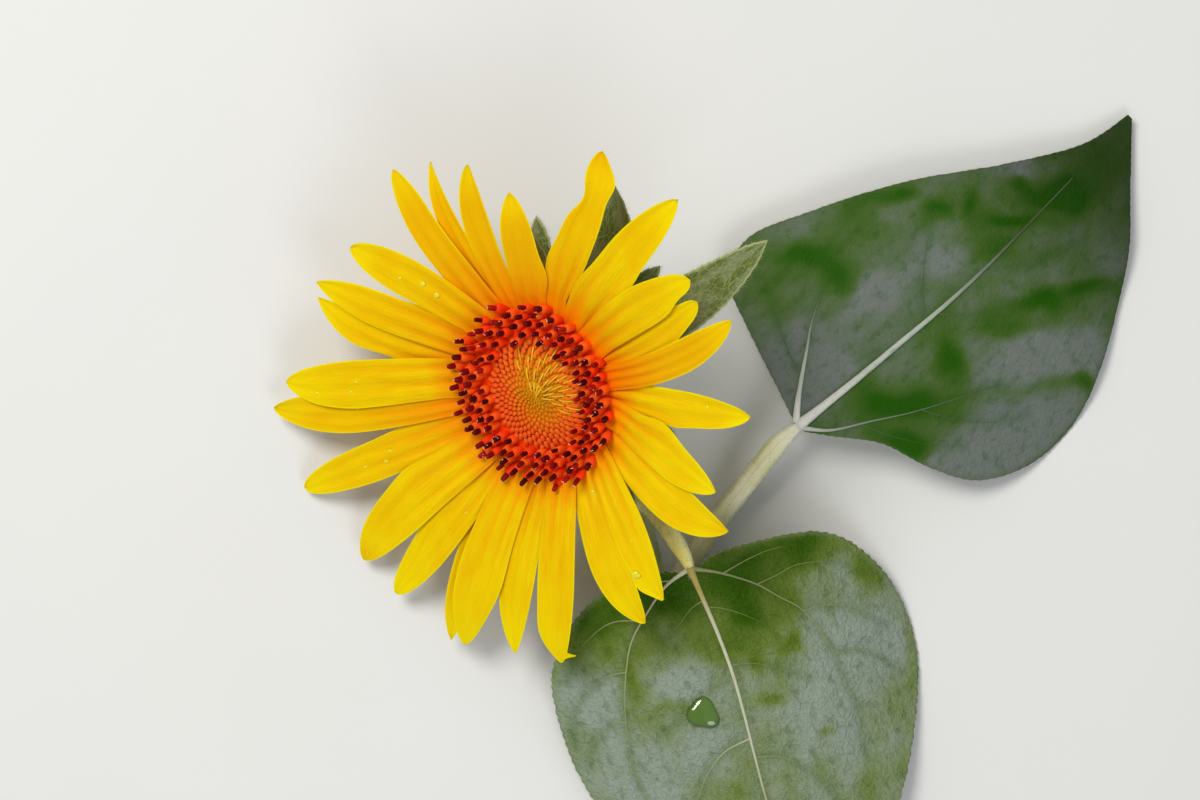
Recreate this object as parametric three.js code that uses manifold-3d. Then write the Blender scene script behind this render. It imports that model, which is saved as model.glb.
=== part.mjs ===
// A cut sunflower stem with one open bloom and two leaves, lying on level ground.
//
// Sizes are millimetres, +Z is up and the ground is z = 0. The stem lies along the ground and
// bends up into a short neck, so that the bloom's face looks up and leans a little to one side.
// Every leaf, ray, bract and stalk is a body of its own, held 0.3 mm clear of what carries it.

import * as THREE from 'three';
import { mergeGeometries, mergeVertices } from 'three/addons/utils/BufferGeometryUtils.js';
import Module from 'manifold-3d';

const wasm = await Module();
wasm.setup();

// The ground point under the middle of the whole part, in the drawing's own coordinates.
const MIDDLE = new THREE.Vector2(26.7, -42.8);

// The clear space between two bodies that meet.
const CLEARANCE = 0.3;

// The bloom: where the middle of its disc is, how far its face leans, and towards which bearing.
const DISC_CENTRE = new THREE.Vector3(-14.8, 2.2, 34.0);
const LEAN = 30;
const LEAN_TOWARDS = 211;

// The disc: ripe florets stand in a ring round a dished middle of closed buds.
const BUD_ZONE_RADIUS = 12.4;
const DISC_RADIUS = 20.6;
const DISC_UNDERSIDE = -1.6;
const RING_TOP = 0.4;
const FLORET_COUNT = 84;
const FLORET_HEIGHT = 5.0;
const FLORET_RADIUS = 0.8;
const FLORET_SPLAY = 0.22;
const POST_TIP = 0.8;
const POST_SINK = 0.6;
const POST_MARGIN = 0.2;
const POST_SIDES = 5;
const BUD_COUNT = 50;
const BUD_HEIGHT = 1.5;
const BUD_RADIUS = 0.8;
const BUD_RIM_TOP = 2.4;
const BUD_DISH = 1.5;
const GOLDEN_ANGLE = 137.508;

// The receptacle: the solid green cup that carries the disc, the rays and the bracts.
const CUP_DEPTH = 14.5;
const CUP_SIDE = [[21.8, -1.9], [22.4, -2.5], [20.2, -4.9], [14.8, -9.3], [8.8, -12.7], [5.2, -CUP_DEPTH]];

// The rays: golden blades in overlapping tiers, all leaving one circle round the disc.
const RAY_ROOT_RADIUS = 21.3;
const RAY_SPAN = 45.0;
const RAY_THICKNESS = 0.6;
const TIER_PITCH = 1.0;
const RAY_RISE = 7.0;
const RAY_RISE_VARIES = 1.5;
const RAY_RISE_TOWARDS = 40;
const RAY_ARCH = 2.4;
const RAY_ROOT_WIDTH = 0.42;
const RAY_WIDEST = 0.55;
const RAY_SWELL_POWER = 1.5;
const RAY_TAPER_POWER = 0.78;
const RAY_TIP_WIDTH = 0.9;
const RAY_CHANNEL = 0.25;

// One ray for each row: the bearing of its root, how far its bearing has swung half way along
// and at the tip (degrees), its reach from the middle of the disc, its width and its tier.
const RAYS = [
  ray(118, 2, 3, 65.0, 10.0, 1),
  ray(110, 2, 1, 63.0, 7.6, -1),
  ray(104, 0, -2, 60.0, 9.0, 0),
  ray(91, -1, 1, 52.2, 10.4, 1),
  ray(75, -7, -6, 68.0, 9.0, 0),
  ray(58, -5, -8, 68.4, 10.4, 0),
  ray(41, -4, -7, 56.7, 10.0, 1),
  ray(26, 1, 3, 54.8, 10.0, 0),
  ray(13, 3, 9, 61.5, 10.0, 1),
  ray(2, -3, -3, 60.3, 9.4, 0),
  ray(-12, -7, -10, 54.5, 10.4, 1),
  ray(-28, -4, -3, 59.7, 10.6, 0),
  ray(-46, -7, -10, 60.1, 9.0, 1),
  ray(-59, -5, -4, 63.2, 9.6, 0),
  ray(-77, -7, -8, 69.1, 9.8, 1),
  ray(-92, -5, -5, 68.6, 9.8, 0),
  ray(-108, -2, -1, 71.1, 11.2, 1),
  ray(-116, 1, 4, 71.6, 8.4, -1),
  ray(-123, -2, -4, 69.8, 12.0, 0),
  ray(-138, -2, 0, 69.7, 12.4, 1),
  ray(-155, -2, -3, 73.3, 11.6, 0),
  ray(-173, 1, -1, 75.0, 11.8, 1),
  ray(173, 6, 7, 69.5, 13.0, 2),
  ray(161, 2, -1, 62.5, 11.0, 0),
  ray(149, 3, 5, 63.5, 10.6, 1),
  ray(132, 6, 10, 59.1, 11.0, 2),
];

// The bracts: hairy green points that close round the back of the cup in three whorls.
const BRACT_THICKNESS = 0.8;
const BRACT_TIP_WIDTH = 0.9;
const BRACT_ROOT_WIDTH = 0.72;
const BRACT_SWELL = 1.1;
const BRACT_TAPER_POWER = 0.8;
const BRACT_CURVE = 2.5;
const BRACT_LENGTH_VARIES = 0.12;
const WHORLS = [
  { count: 7, first: 94, step: 41, height: -3.9, fall: 12, length: 15.5, width: 12 },
  { count: 7, first: 47, step: 50.5, height: -7.6, fall: 22, length: 21, width: 11 },
  { count: 5, first: 20, step: 72, height: -11.0, fall: 34, length: 20, width: 10 },
];

// Two bracts have grown out long and leafy, and show beyond the rays.
const LEAFY_BRACTS = [
  { bearing: 59, height: -5.6, fall: 2, length: 36.5, width: 17, swing: 10 },
  { bearing: 30, height: -3.9, fall: 1, length: 52.5, width: 17, swing: 3 },
];

// The stem: a neck that turns down from the cup, and a straight run along the ground to the cut.
const NECK_TOP_RADIUS = 4.8;
const STEM_RADIUS = 4.2;
const CUT_RADIUS = 4.9;
const NECK_STRAIGHT = 1.5;
const STEM_BEARING = -77.5;
const STEM_RUN = 154.0;
const STEM_SIDES = 14;

// The stalks of the two leaves, from just clear of the stem to the foot of each blade.
const NEAR_STALK_RADIUS = 2.3;
const FAR_STALK_RADIUS = 2.7;
const STALK_THINS = 0.12;
const STALK_SIDES = 10;
const NEAR_STALK = curve(
  [12.2, -27.0, 9.2],
  [15.0, -30.0, 13.2],
  [18.0, -34.1, 18.2],
  [21.0, -38.8, 22.0],
  [22.6, -42.3, 23.2],
);
const FAR_STALK = curve(
  [19.4, -47.2, 4.9],
  [25.6, -38.1, 6.0],
  [30.8, -30.6, 7.8],
  [43.6, -13.6, 12.0],
  [50.4, -6.8, 13.9],
);

// The leaves: thin blades that arch over the stem and droop to the ground at their edges.
const LEAF_THICKNESS = 1.2;
const LEAF_HALF_WIDTH = 46;
const LEAF_DROOP_POWER = 2.1;
const LEAF_RIPPLE = { along: 9, across: 7 };
const NEAR_LEAF = {
  foot: new THREE.Vector2(22.6, -42.4),
  bearing: -72.2,
  rib: heights([0, 23.4], [22, 19.0], [58, 15.4], [92, 13.0], [112, 11.2]),
  droop: 13.2,
  wave: 0.8,
  left: outline(
    [0.6, 2.4], [-1.5, 10], [2, 35], [17, 47.6], [38, 50], [60, 42], [80, 29], [98, 11], [112, 0.8],
  ),
  right: outline(
    [0.6, -2.4], [-1.5, -10], [0, -24], [8, -36], [22, -43.5], [50, -42], [74, -29], [96, -11], [112, -0.8],
  ),
};
const FAR_LEAF = {
  foot: new THREE.Vector2(50.4, -6.8),
  bearing: 42.7,
  rib: heights([0, 14.2], [18, 15.6], [55, 13.0], [90, 7.0], [118, 2.4]),
  droop: 10.2,
  wave: 1.0,
  left: outline(
    [0.5, 2.2], [2.5, 9], [8, 27.5], [13, 39.5], [24, 44], [40, 38.3], [63, 27.4], [86, 12.8], [104, 3.2],
    [118, 0.8],
  ),
  right: outline(
    [0.5, -2.2], [5, -8], [13, -18], [18, -31], [25, -42], [38, -48.5], [54, -48.5], [72, -40.5], [92, -27],
    [105, -14], [118, -0.8],
  ),
};

const COLOURS = {
  ray: finish(0xf2b90c, 0.62),
  floret: finish(0x5c1210, 0.7),
  bud: finish(0xd98a1c, 0.7),
  cup: finish(0x5d7238, 0.8),
  bract: finish(0x66783f, 0.8),
  stem: finish(0x8f9a5c, 0.75),
  stalk: finish(0xb3b78c, 0.75),
  leaf: finish(0x3d5226, 0.7),
};

function ray(bearing, middleSwing, tipSwing, reach, width, tier) {
  return { bearing, middleSwing, tipSwing, reach, width, tier };
}

function finish(color, roughness) {
  return new THREE.MeshStandardMaterial({ color, roughness, metalness: 0 });
}

function curve(...points) {
  return new THREE.CatmullRomCurve3(points.map((p) => new THREE.Vector3(...p)));
}

// The blade's height over the ground at a distance along its rib.
function heights(...pairs) {
  return (along) => {
    const last = pairs.length - 1;
    let i = 0;
    while (i < last - 1 && along > pairs[i + 1][0]) {
      i += 1;
    }
    const [from, low] = pairs[i];
    const [to, high] = pairs[i + 1];
    const part = THREE.MathUtils.smoothstep(along, from, to);
    return THREE.MathUtils.lerp(low, high, 0.5 * part + 0.5 * (along - from) / (to - from));
  };
}

// One edge of a leaf, as distances along its rib and to the left of it.
function outline(...points) {
  return new THREE.SplineCurve(points.map((p) => new THREE.Vector2(...p)));
}

function polar(radius, bearing, z = 0) {
  const angle = THREE.MathUtils.degToRad(bearing);
  return new THREE.Vector3(radius * Math.cos(angle), radius * Math.sin(angle), z);
}

// A closed body from a grid of points on each of its two faces. upper and lower give the
// point at row and column fractions from 0 to 1, with the upper face outward.
function slab(rows, columns, upper, lower) {
  const positions = [];
  const index = [];
  const across = columns + 1;
  const count = (rows + 1) * across;
  for (const face of [upper, lower]) {
    for (let r = 0; r <= rows; r += 1) {
      for (let c = 0; c <= columns; c += 1) {
        positions.push(...face(r / rows, c / columns).toArray());
      }
    }
  }
  const quad = (a, b, c, d) => index.push(a, b, c, a, c, d);
  for (let r = 0; r < rows; r += 1) {
    for (let c = 0; c < columns; c += 1) {
      const a = r * across + c;
      quad(a, a + across, a + across + 1, a + 1);
      quad(count + a, count + a + 1, count + a + across + 1, count + a + across);
    }
  }
  for (let r = 0; r < rows; r += 1) {
    const first = r * across;
    const last = first + columns;
    quad(first, count + first, count + first + across, first + across);
    quad(last + across, count + last + across, count + last, last);
  }
  for (let c = 0; c < columns; c += 1) {
    const tip = rows * across + c;
    quad(c + 1, count + c + 1, count + c, c);
    quad(tip, count + tip, count + tip + 1, tip + 1);
  }
  const geometry = new THREE.BufferGeometry();
  geometry.setAttribute('position', new THREE.Float32BufferAttribute(positions, 3));
  geometry.setIndex(index);
  return geometry;
}

// A slab whose faces lie half the thickness above and below a surface, measured along z.
function blade(rows, columns, thickness, surface) {
  const up = new THREE.Vector3(0, 0, thickness / 2);
  const upper = (r, c) => surface(r, c).add(up);
  const lower = (r, c) => surface(r, c).sub(up);
  return slab(rows, columns, upper, lower);
}

// A tube along a path, round, with flat ends. radiusAt gives its radius at each fraction.
function tube(path, steps, sides, radiusAt) {
  const { tangents, normals, binormals } = path.computeFrenetFrames(steps, false);
  const positions = [];
  const index = [];
  for (let i = 0; i <= steps; i += 1) {
    const centre = path.getPointAt(i / steps);
    const radius = radiusAt(i / steps);
    for (let s = 0; s < sides; s += 1) {
      const angle = (2 * Math.PI * s) / sides;
      const out = normals[i].clone().multiplyScalar(Math.cos(angle) * radius);
      out.addScaledVector(binormals[i], Math.sin(angle) * radius);
      positions.push(...centre.clone().add(out).toArray());
    }
  }
  for (let i = 0; i < steps; i += 1) {
    for (let s = 0; s < sides; s += 1) {
      const a = i * sides + s;
      const b = i * sides + ((s + 1) % sides);
      index.push(a, b, b + sides, a, b + sides, a + sides);
    }
  }
  const end = steps * sides;
  for (let s = 1; s < sides - 1; s += 1) {
    index.push(0, s + 1, s);
    index.push(end, end + s, end + s + 1);
  }
  const geometry = new THREE.BufferGeometry();
  geometry.setAttribute('position', new THREE.Float32BufferAttribute(positions, 3));
  geometry.setIndex(index);
  return geometry;
}

function toSolid(geometry) {
  const bare = geometry.clone();
  bare.deleteAttribute('normal');
  bare.deleteAttribute('uv');
  const merged = mergeVertices(bare, 1e-4);
  const vertProperties = new Float32Array(merged.attributes.position.array);
  const triVerts = new Uint32Array(merged.index.array);
  return new wasm.Manifold(new wasm.Mesh({ numProp: 3, vertProperties, triVerts }));
}

function fromSolid(solid) {
  const mesh = solid.getMesh();
  const geometry = new THREE.BufferGeometry();
  geometry.setAttribute('position', new THREE.Float32BufferAttribute(mesh.vertProperties, 3));
  geometry.setIndex(Array.from(mesh.triVerts));
  return geometry;
}

// A plate with many small posts standing on it, joined into one body. The posts don't touch
// each other, so they are joined to the plate in one go.
function studded(plate, posts) {
  return fromSolid(toSolid(plate).add(toSolid(mergeGeometries(posts))));
}

function lathe(profile, segments) {
  const points = profile.map(([radius, z]) => new THREE.Vector2(radius, z));
  const geometry = new THREE.LatheGeometry(points, segments);
  geometry.rotateX(Math.PI / 2);
  return geometry;
}

// A post that stands at a bearing and radius, leaning outward by a slope, with its foot sunk in.
function post(radius, bearing, foot, height, width, slope) {
  const geometry = new THREE.CylinderGeometry(width * POST_TIP, width, height + POST_SINK, POST_SIDES);
  geometry.rotateX(Math.PI / 2);
  geometry.translate(0, 0, (height - POST_SINK) / 2);
  geometry.rotateY(Math.atan(slope));
  geometry.translate(radius, 0, foot);
  geometry.rotateZ(THREE.MathUtils.degToRad(bearing));
  return geometry;
}

// The golden-angle spiral over a ring, which keeps one spacing all over.
function spiral(count, inner, outer) {
  return Array.from({ length: count }, (_, k) => {
    const area = (k + 0.5) / count;
    const radius = Math.sqrt(inner ** 2 + (outer ** 2 - inner ** 2) * area);
    return { radius, bearing: k * GOLDEN_ANGLE };
  });
}

function makeFlorets() {
  const inner = BUD_ZONE_RADIUS + CLEARANCE;
  const ring = lathe([
    [inner, DISC_UNDERSIDE],
    [DISC_RADIUS, DISC_UNDERSIDE],
    [DISC_RADIUS, RING_TOP],
    [inner, RING_TOP],
    [inner, DISC_UNDERSIDE],
  ], 40);
  const margin = FLORET_RADIUS + POST_MARGIN;
  const posts = spiral(FLORET_COUNT, inner + margin, DISC_RADIUS - margin).map(({ radius, bearing }) => {
    const slope = FLORET_SPLAY * (radius / DISC_RADIUS);
    return post(radius, bearing, RING_TOP, FLORET_HEIGHT, FLORET_RADIUS, slope);
  });
  return studded(ring, posts);
}

function makeBuds() {
  const middle = BUD_RIM_TOP - BUD_DISH;
  const plate = lathe([
    [0, DISC_UNDERSIDE],
    [BUD_ZONE_RADIUS, DISC_UNDERSIDE],
    [BUD_ZONE_RADIUS, BUD_RIM_TOP - BUD_HEIGHT],
    [BUD_ZONE_RADIUS * 0.55, middle - BUD_HEIGHT * 0.6],
    [0, middle - BUD_HEIGHT],
  ], 20);
  const reach = BUD_ZONE_RADIUS - BUD_RADIUS - POST_MARGIN;
  const posts = spiral(BUD_COUNT, 0, reach).map(({ radius, bearing }) => {
    const part = radius / BUD_ZONE_RADIUS;
    const top = middle + BUD_DISH * part ** 2;
    return post(radius, bearing, top - BUD_HEIGHT, BUD_HEIGHT, BUD_RADIUS, 0);
  });
  return studded(plate, posts);
}

function makeCup() {
  const [top, bottom] = [CUP_SIDE[0][1], CUP_SIDE.at(-1)[1]];
  return lathe([[0, bottom], ...[...CUP_SIDE].reverse(), [0, top]], 32);
}

// The cup's radius at a height on its side.
function cupRadius(height) {
  const i = CUP_SIDE.findIndex(([, z]) => z < height);
  const [[above, high], [below, low]] = [CUP_SIDE[i - 1], CUP_SIDE[i]];
  return THREE.MathUtils.mapLinear(height, high, low, above, below);
}

// The height of the rays' common sheet, which keeps the tiers apart where the rays overlap.
function raySheet(radius, bearing, tier) {
  const part = (radius - RAY_ROOT_RADIUS) / RAY_SPAN;
  const turn = THREE.MathUtils.degToRad(bearing - RAY_RISE_TOWARDS);
  const rise = RAY_RISE + RAY_RISE_VARIES * Math.cos(turn);
  return tier * TIER_PITCH + rise * part + RAY_ARCH * 4 * part * (1 - part);
}

// A ray's half width at a fraction of its length: narrow at the root, then a blunt point.
function rayHalfWidth(width, along) {
  const opening = Math.max(0, 1 - along / RAY_WIDEST);
  const closing = Math.max(0, (along - RAY_WIDEST) / (1 - RAY_WIDEST));
  const swell = 1 - (1 - RAY_ROOT_WIDTH) * opening ** RAY_SWELL_POWER;
  const taper = (1 - closing ** 2) ** RAY_TAPER_POWER;
  return 0.5 * Math.max(RAY_TIP_WIDTH, width * swell * taper);
}

function makeRay({ bearing, middleSwing, tipSwing, reach, width, tier }) {
  const bearingAt = (t) => bearing + middleSwing * 4 * t * (1 - t) + tipSwing * t * (2 * t - 1);
  const spine = (t) => polar(RAY_ROOT_RADIUS + (reach - RAY_ROOT_RADIUS) * t, bearingAt(t));
  const surface = (r, c) => {
    const ahead = spine(Math.min(1, r + 0.01)).sub(spine(Math.max(0, r - 0.01))).normalize();
    const side = 2 * c - 1;
    const offset = side * rayHalfWidth(width, r);
    const point = spine(r).add(new THREE.Vector3(-ahead.y, ahead.x, 0).multiplyScalar(offset));
    const radius = Math.hypot(point.x, point.y);
    const spineBearing = bearingAt(r);
    point.z = raySheet(radius, spineBearing, tier) + RAY_CHANNEL * r * (side ** 2 - 0.5);
    return point;
  };
  return blade(9, 4, RAY_THICKNESS, surface);
}

// The height of the ground over the bloom's own plane, at a point of that plane.
function groundHeight(point) {
  const lean = THREE.MathUtils.degToRad(LEAN);
  const downhill = point.dot(polar(1, LEAN_TOWARDS));
  return (downhill * Math.sin(lean) - DISC_CENTRE.z) / Math.cos(lean);
}

// A bract leaves the cup's side and tapers to a long point that curls back up a little. One
// that would reach the ground lies along it.
function makeBract({ bearing, height, fall, length, width, swing = 0 }) {
  const slope = Math.tan(THREE.MathUtils.degToRad(fall));
  const root = cupRadius(height + BRACT_THICKNESS) + CLEARANCE;
  const surface = (r, c) => {
    const side = 2 * c - 1;
    const profile = (BRACT_ROOT_WIDTH + BRACT_SWELL * r) * (1 - r) ** BRACT_TAPER_POWER;
    const halfWidth = 0.5 * Math.max(BRACT_TIP_WIDTH, width * profile);
    const swung = bearing + swing * r ** 2;
    const point = polar(root + length * r, swung).addScaledVector(polar(1, swung + 90), side * halfWidth);
    const free = height - slope * length * r + BRACT_CURVE * r ** 2;
    point.z = Math.max(free, groundHeight(point) + BRACT_THICKNESS);
    return point;
  };
  return blade(7, 2, BRACT_THICKNESS, surface);
}

// A leaf's blade between its rib and its two edges, which fan out round the foot.
function makeLeaf({ foot, bearing, rib, droop, wave, left, right }) {
  const [start, end] = [left.points[0].x, left.points.at(-1).x];
  const ahead = polar(1, bearing);
  const aside = polar(1, bearing + 90);
  const place = (along, aleft) => {
    const share = Math.abs(aleft) / LEAF_HALF_WIDTH;
    const ripple = wave * share * Math.sin(along / LEAF_RIPPLE.along + aleft / LEAF_RIPPLE.across);
    const z = rib(Math.max(0, along)) - droop * share ** LEAF_DROOP_POWER + ripple;
    return new THREE.Vector3(foot.x, foot.y, z).addScaledVector(ahead, along).addScaledVector(aside, aleft);
  };
  const surface = (r, c) => {
    const edge = (c < 0.5 ? right : left).getPoint(r);
    const share = Math.abs(2 * c - 1);
    const along = THREE.MathUtils.lerp(start, end, r);
    return place(THREE.MathUtils.lerp(along, edge.x, share), edge.y * share);
  };
  return blade(20, 12, LEAF_THICKNESS, surface);
}

// The neck's centre line: out of the cup along the disc's axis, then round to the stem's bearing
// on an arc that ends at the stem's height over the ground.
function neckPath(tilt) {
  const start = new THREE.Vector3(0, 0, -CUP_DEPTH - CLEARANCE).applyQuaternion(tilt).add(DISC_CENTRE);
  const down = new THREE.Vector3(0, 0, -1).applyQuaternion(tilt);
  const run = polar(1, STEM_BEARING);
  const turn = down.angleTo(run);
  const inward = run.clone().addScaledVector(down, -run.dot(down)).normalize();
  const bendStart = start.clone().addScaledVector(down, NECK_STRAIGHT);
  const fallPerRadius = -down.z * Math.sin(turn) - inward.z * (1 - Math.cos(turn));
  const bend = (bendStart.z - STEM_RADIUS) / fallPerRadius;
  const points = [start];
  const arcSteps = 8;
  for (let i = 0; i <= arcSteps; i += 1) {
    const angle = (turn * i) / arcSteps;
    const point = bendStart.clone().addScaledVector(down, bend * Math.sin(angle));
    points.push(point.addScaledVector(inward, bend * (1 - Math.cos(angle))));
  }
  const last = points.at(-1);
  points.push(last.clone().addScaledVector(run, NECK_STRAIGHT));
  return new THREE.CatmullRomCurve3(points, false, 'centripetal');
}

// The stem's centre line, from just clear of the neck's end to the cut. It climbs as the stem
// thickens, so that the stem's underside stays on the ground.
function stemPath(neckEnd) {
  const run = polar(1, STEM_BEARING);
  const start = neckEnd.clone().addScaledVector(run, CLEARANCE).setZ(STEM_RADIUS);
  return new THREE.LineCurve3(start, start.clone().addScaledVector(run, STEM_RUN).setZ(CUT_RADIUS));
}

function makeStalk(path, radius) {
  return tube(path, 9, STALK_SIDES, (part) => radius * (1 - STALK_THINS * part));
}

function named(name, geometry, material) {
  const mesh = new THREE.Mesh(geometry, material);
  mesh.name = name;
  return mesh;
}

function number(k) {
  return String(k + 1).padStart(2, '0');
}

function makeBloom(tilt) {
  const bloom = new THREE.Group();
  bloom.position.copy(DISC_CENTRE);
  bloom.quaternion.copy(tilt);
  bloom.add(named('receptacle', makeCup(), COLOURS.cup));
  bloom.add(named('disc_florets', makeFlorets(), COLOURS.floret));
  bloom.add(named('disc_buds', makeBuds(), COLOURS.bud));
  RAYS.forEach((row, k) => bloom.add(named(`ray_${number(k)}`, makeRay(row), COLOURS.ray)));
  const bracts = WHORLS.flatMap((whorl) => Array.from({ length: whorl.count }, (_, k) => {
    const bearing = whorl.first + whorl.step * k;
    const up = Math.sin(THREE.MathUtils.degToRad(bearing));
    const length = whorl.length * (1 + BRACT_LENGTH_VARIES * up);
    return { ...whorl, bearing, length };
  }));
  [...LEAFY_BRACTS, ...bracts].forEach((row, k) => {
    bloom.add(named(`bract_${number(k)}`, makeBract(row), COLOURS.bract));
  });
  return bloom;
}

function makePlant() {
  const axis = polar(1, LEAN_TOWARDS + 90);
  const tilt = new THREE.Quaternion().setFromAxisAngle(axis, THREE.MathUtils.degToRad(LEAN));
  const neck = neckPath(tilt);
  const neckRadius = (part) => THREE.MathUtils.lerp(NECK_TOP_RADIUS, STEM_RADIUS, Math.min(1, part * 1.5));
  const stemRadius = (part) => THREE.MathUtils.lerp(STEM_RADIUS, CUT_RADIUS, part);
  const plant = new THREE.Group();
  plant.position.set(-MIDDLE.x, -MIDDLE.y, 0);
  plant.add(makeBloom(tilt));
  plant.add(named('neck', tube(neck, 14, STEM_SIDES, neckRadius), COLOURS.stem));
  plant.add(named('stem', tube(stemPath(neck.getPoint(1)), 10, STEM_SIDES, stemRadius), COLOURS.stem));
  plant.add(named('stalk_near', makeStalk(NEAR_STALK, NEAR_STALK_RADIUS), COLOURS.stalk));
  plant.add(named('stalk_far', makeStalk(FAR_STALK, FAR_STALK_RADIUS), COLOURS.stalk));
  plant.add(named('leaf_near', makeLeaf(NEAR_LEAF), COLOURS.leaf));
  plant.add(named('leaf_far', makeLeaf(FAR_LEAF), COLOURS.leaf));
  return plant;
}

export default makePlant();
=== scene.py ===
"""A cut sunflower stem, lying face up on a pale floor.

The classes hold their sizes in millimetres, in the coordinates that the plant was drawn in: the
camera stands over x = y = 0, +Y is up in its picture and the floor is z = 0. A Place turns them
into the frame's metres. Each class builds its pieces by the rules of the solids that they stand
for, carried to a finer surface.
"""

import logging
import math
from dataclasses import dataclass, field, replace
from enum import Enum

import bpy
import numpy as np
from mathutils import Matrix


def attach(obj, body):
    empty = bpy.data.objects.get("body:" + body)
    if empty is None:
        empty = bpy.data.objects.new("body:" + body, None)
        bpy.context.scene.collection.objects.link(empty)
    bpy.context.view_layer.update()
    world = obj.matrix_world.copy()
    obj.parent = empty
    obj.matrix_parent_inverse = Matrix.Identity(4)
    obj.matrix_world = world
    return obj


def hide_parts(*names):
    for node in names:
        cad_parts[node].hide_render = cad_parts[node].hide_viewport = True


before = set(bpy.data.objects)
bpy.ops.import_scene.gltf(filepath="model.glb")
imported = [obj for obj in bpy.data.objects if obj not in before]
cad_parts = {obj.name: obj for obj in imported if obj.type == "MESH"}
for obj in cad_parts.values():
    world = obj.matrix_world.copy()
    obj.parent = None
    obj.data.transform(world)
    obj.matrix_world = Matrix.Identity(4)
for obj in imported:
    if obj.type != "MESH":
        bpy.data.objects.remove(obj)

LOG = logging.getLogger("sunflower")
Array = np.ndarray
Colour = tuple[float, float, float, float]
Material = bpy.types.Material
Socket = bpy.types.NodeSocket
Draw = np.random.Generator

METRE = 0.001
MIDDLE = np.array([26.7, -42.8, 0.0])
BODY = "root"
GOLDEN_ANGLE = 137.508
UP = np.array([0.0, 0.0, 1.0])
SEED = 417
BUD_SEED = SEED + 1
BRACT_SEED = SEED + 100


class Slot(Enum):
    """The record's material slots."""

    RAY = "ray"
    FLORET = "floret"
    BUD = "bud"
    CUP = "cup"
    BRACT = "bract"
    STEM = "stem"
    STALK = "stalk"
    LEAF = "leaf"


def tone(red: int, green: int, blue: int) -> Colour:
    """Turn a screen colour, each share from 0 to 255, into the linear light that a shader takes."""
    shares = np.array([red, green, blue]) / 255
    return (*np.where(shares > 0.04045, ((shares + 0.055) / 1.055) ** 2.4, shares / 12.92).tolist(), 1.0)


def polar(radius: Array, bearing: Array, height: Array = 0.0) -> Array:
    """Place points by radius, by bearing in degrees from +X towards +Y, and by height."""
    angle = np.radians(bearing)
    return np.stack(np.broadcast_arrays(radius * np.cos(angle), radius * np.sin(angle), height), axis=-1)


def smooth(low: float, high: float, value: Array) -> Array:
    """Rise from 0 at low to 1 at high without corners."""
    part = np.clip((value - low) / (high - low), 0, 1)
    return part * part * (3 - 2 * part)


def unit(vectors: Array) -> Array:
    """Scale each vector to a length of 1."""
    return vectors / np.maximum(np.linalg.norm(vectors, axis=-1, keepdims=True), 1e-9)


def spline(knots: Array, share: Array) -> Array:
    """Follow a uniform Catmull-Rom curve through its knots.

    Args:
        knots: The points that the curve passes through.
        share: Shares of the curve, with the knots evenly spread from 0 to 1.

    Returns:
        The curve's point at each share.
    """
    knots = np.asarray(knots, float)
    last = len(knots) - 1
    at = np.clip(share, 0, 1) * last
    i = np.minimum(at.astype(int), last - 1)
    w = (at - i)[..., None]
    start, end = knots[i], knots[i + 1]
    leave = (end - knots[np.maximum(i - 1, 0)]) / 2
    reach = (knots[np.minimum(i + 2, last)] - start) / 2
    cubic = 2 * start - 2 * end + leave + reach
    square = -3 * start + 3 * end - 2 * leave - reach
    return cubic * w**3 + square * w**2 + leave * w + start


def length_along(path: Array) -> Array:
    """Measure how far along a path each of its points is."""
    return np.concatenate([[0], np.cumsum(np.linalg.norm(np.diff(path, axis=0), axis=1))])


def turned(angle: float) -> Array:
    """Make the matrix of a turn about the upright axis, in radians."""
    cos, sin = math.cos(angle), math.sin(angle)
    return np.array([[cos, -sin, 0], [sin, cos, 0], [0, 0, 1]])


def ring_angles(sides: int) -> Array:
    """Spread angles in radians evenly round a ring."""
    return np.arange(sides) * 2 * math.pi / sides


def ring_bearings(sides: int) -> Array:
    """Spread bearings in degrees evenly round a ring."""
    return np.arange(sides) * 360 / sides


def laid_flat(across: Array, along: Array) -> Array:
    """Give a grid's points their places on a flat pattern, from its columns and its rows."""
    return np.stack(np.broadcast_arrays(across[None, :], along[:, None]), axis=-1)


def evenly(path: Array, count: int) -> Array:
    """Spread a number of points at even distances from a path's start to its end."""
    run = length_along(path)
    return np.stack([np.interp(np.linspace(0, run[-1], count), run, part) for part in path.T], axis=-1)


def carried_frames(path: Array, first: Array) -> tuple[Array, Array]:
    """Carry a pair of side directions along a path without twist.

    Args:
        path: The path's points.
        first: The direction that the first side starts nearest to.

    Returns:
        Two unit directions across the path at each of its points.
    """
    ahead = unit(np.gradient(path, axis=0))
    side = np.zeros_like(path)
    current = np.asarray(first, float)
    for k, along in enumerate(ahead):
        current = current - along * (current @ along)
        current = current / np.linalg.norm(current)
        side[k] = current
    return side, np.cross(ahead, side)


def grid_quads(rows: int, columns: int, wrap: bool = False) -> Array:
    """List the faces of a grid of points.

    Args:
        rows: Rows of points.
        columns: Points in a row.
        wrap: Whether the last column joins the first.

    Returns:
        Four point numbers for each face.
    """
    r = np.arange(rows - 1)[:, None] * columns
    c = np.arange(columns if wrap else columns - 1)[None, :]
    here = r + c
    beside = r + (c + 1) % columns
    return np.stack([here, beside, beside + columns, here + columns], axis=-1).reshape(-1, 4)


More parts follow.
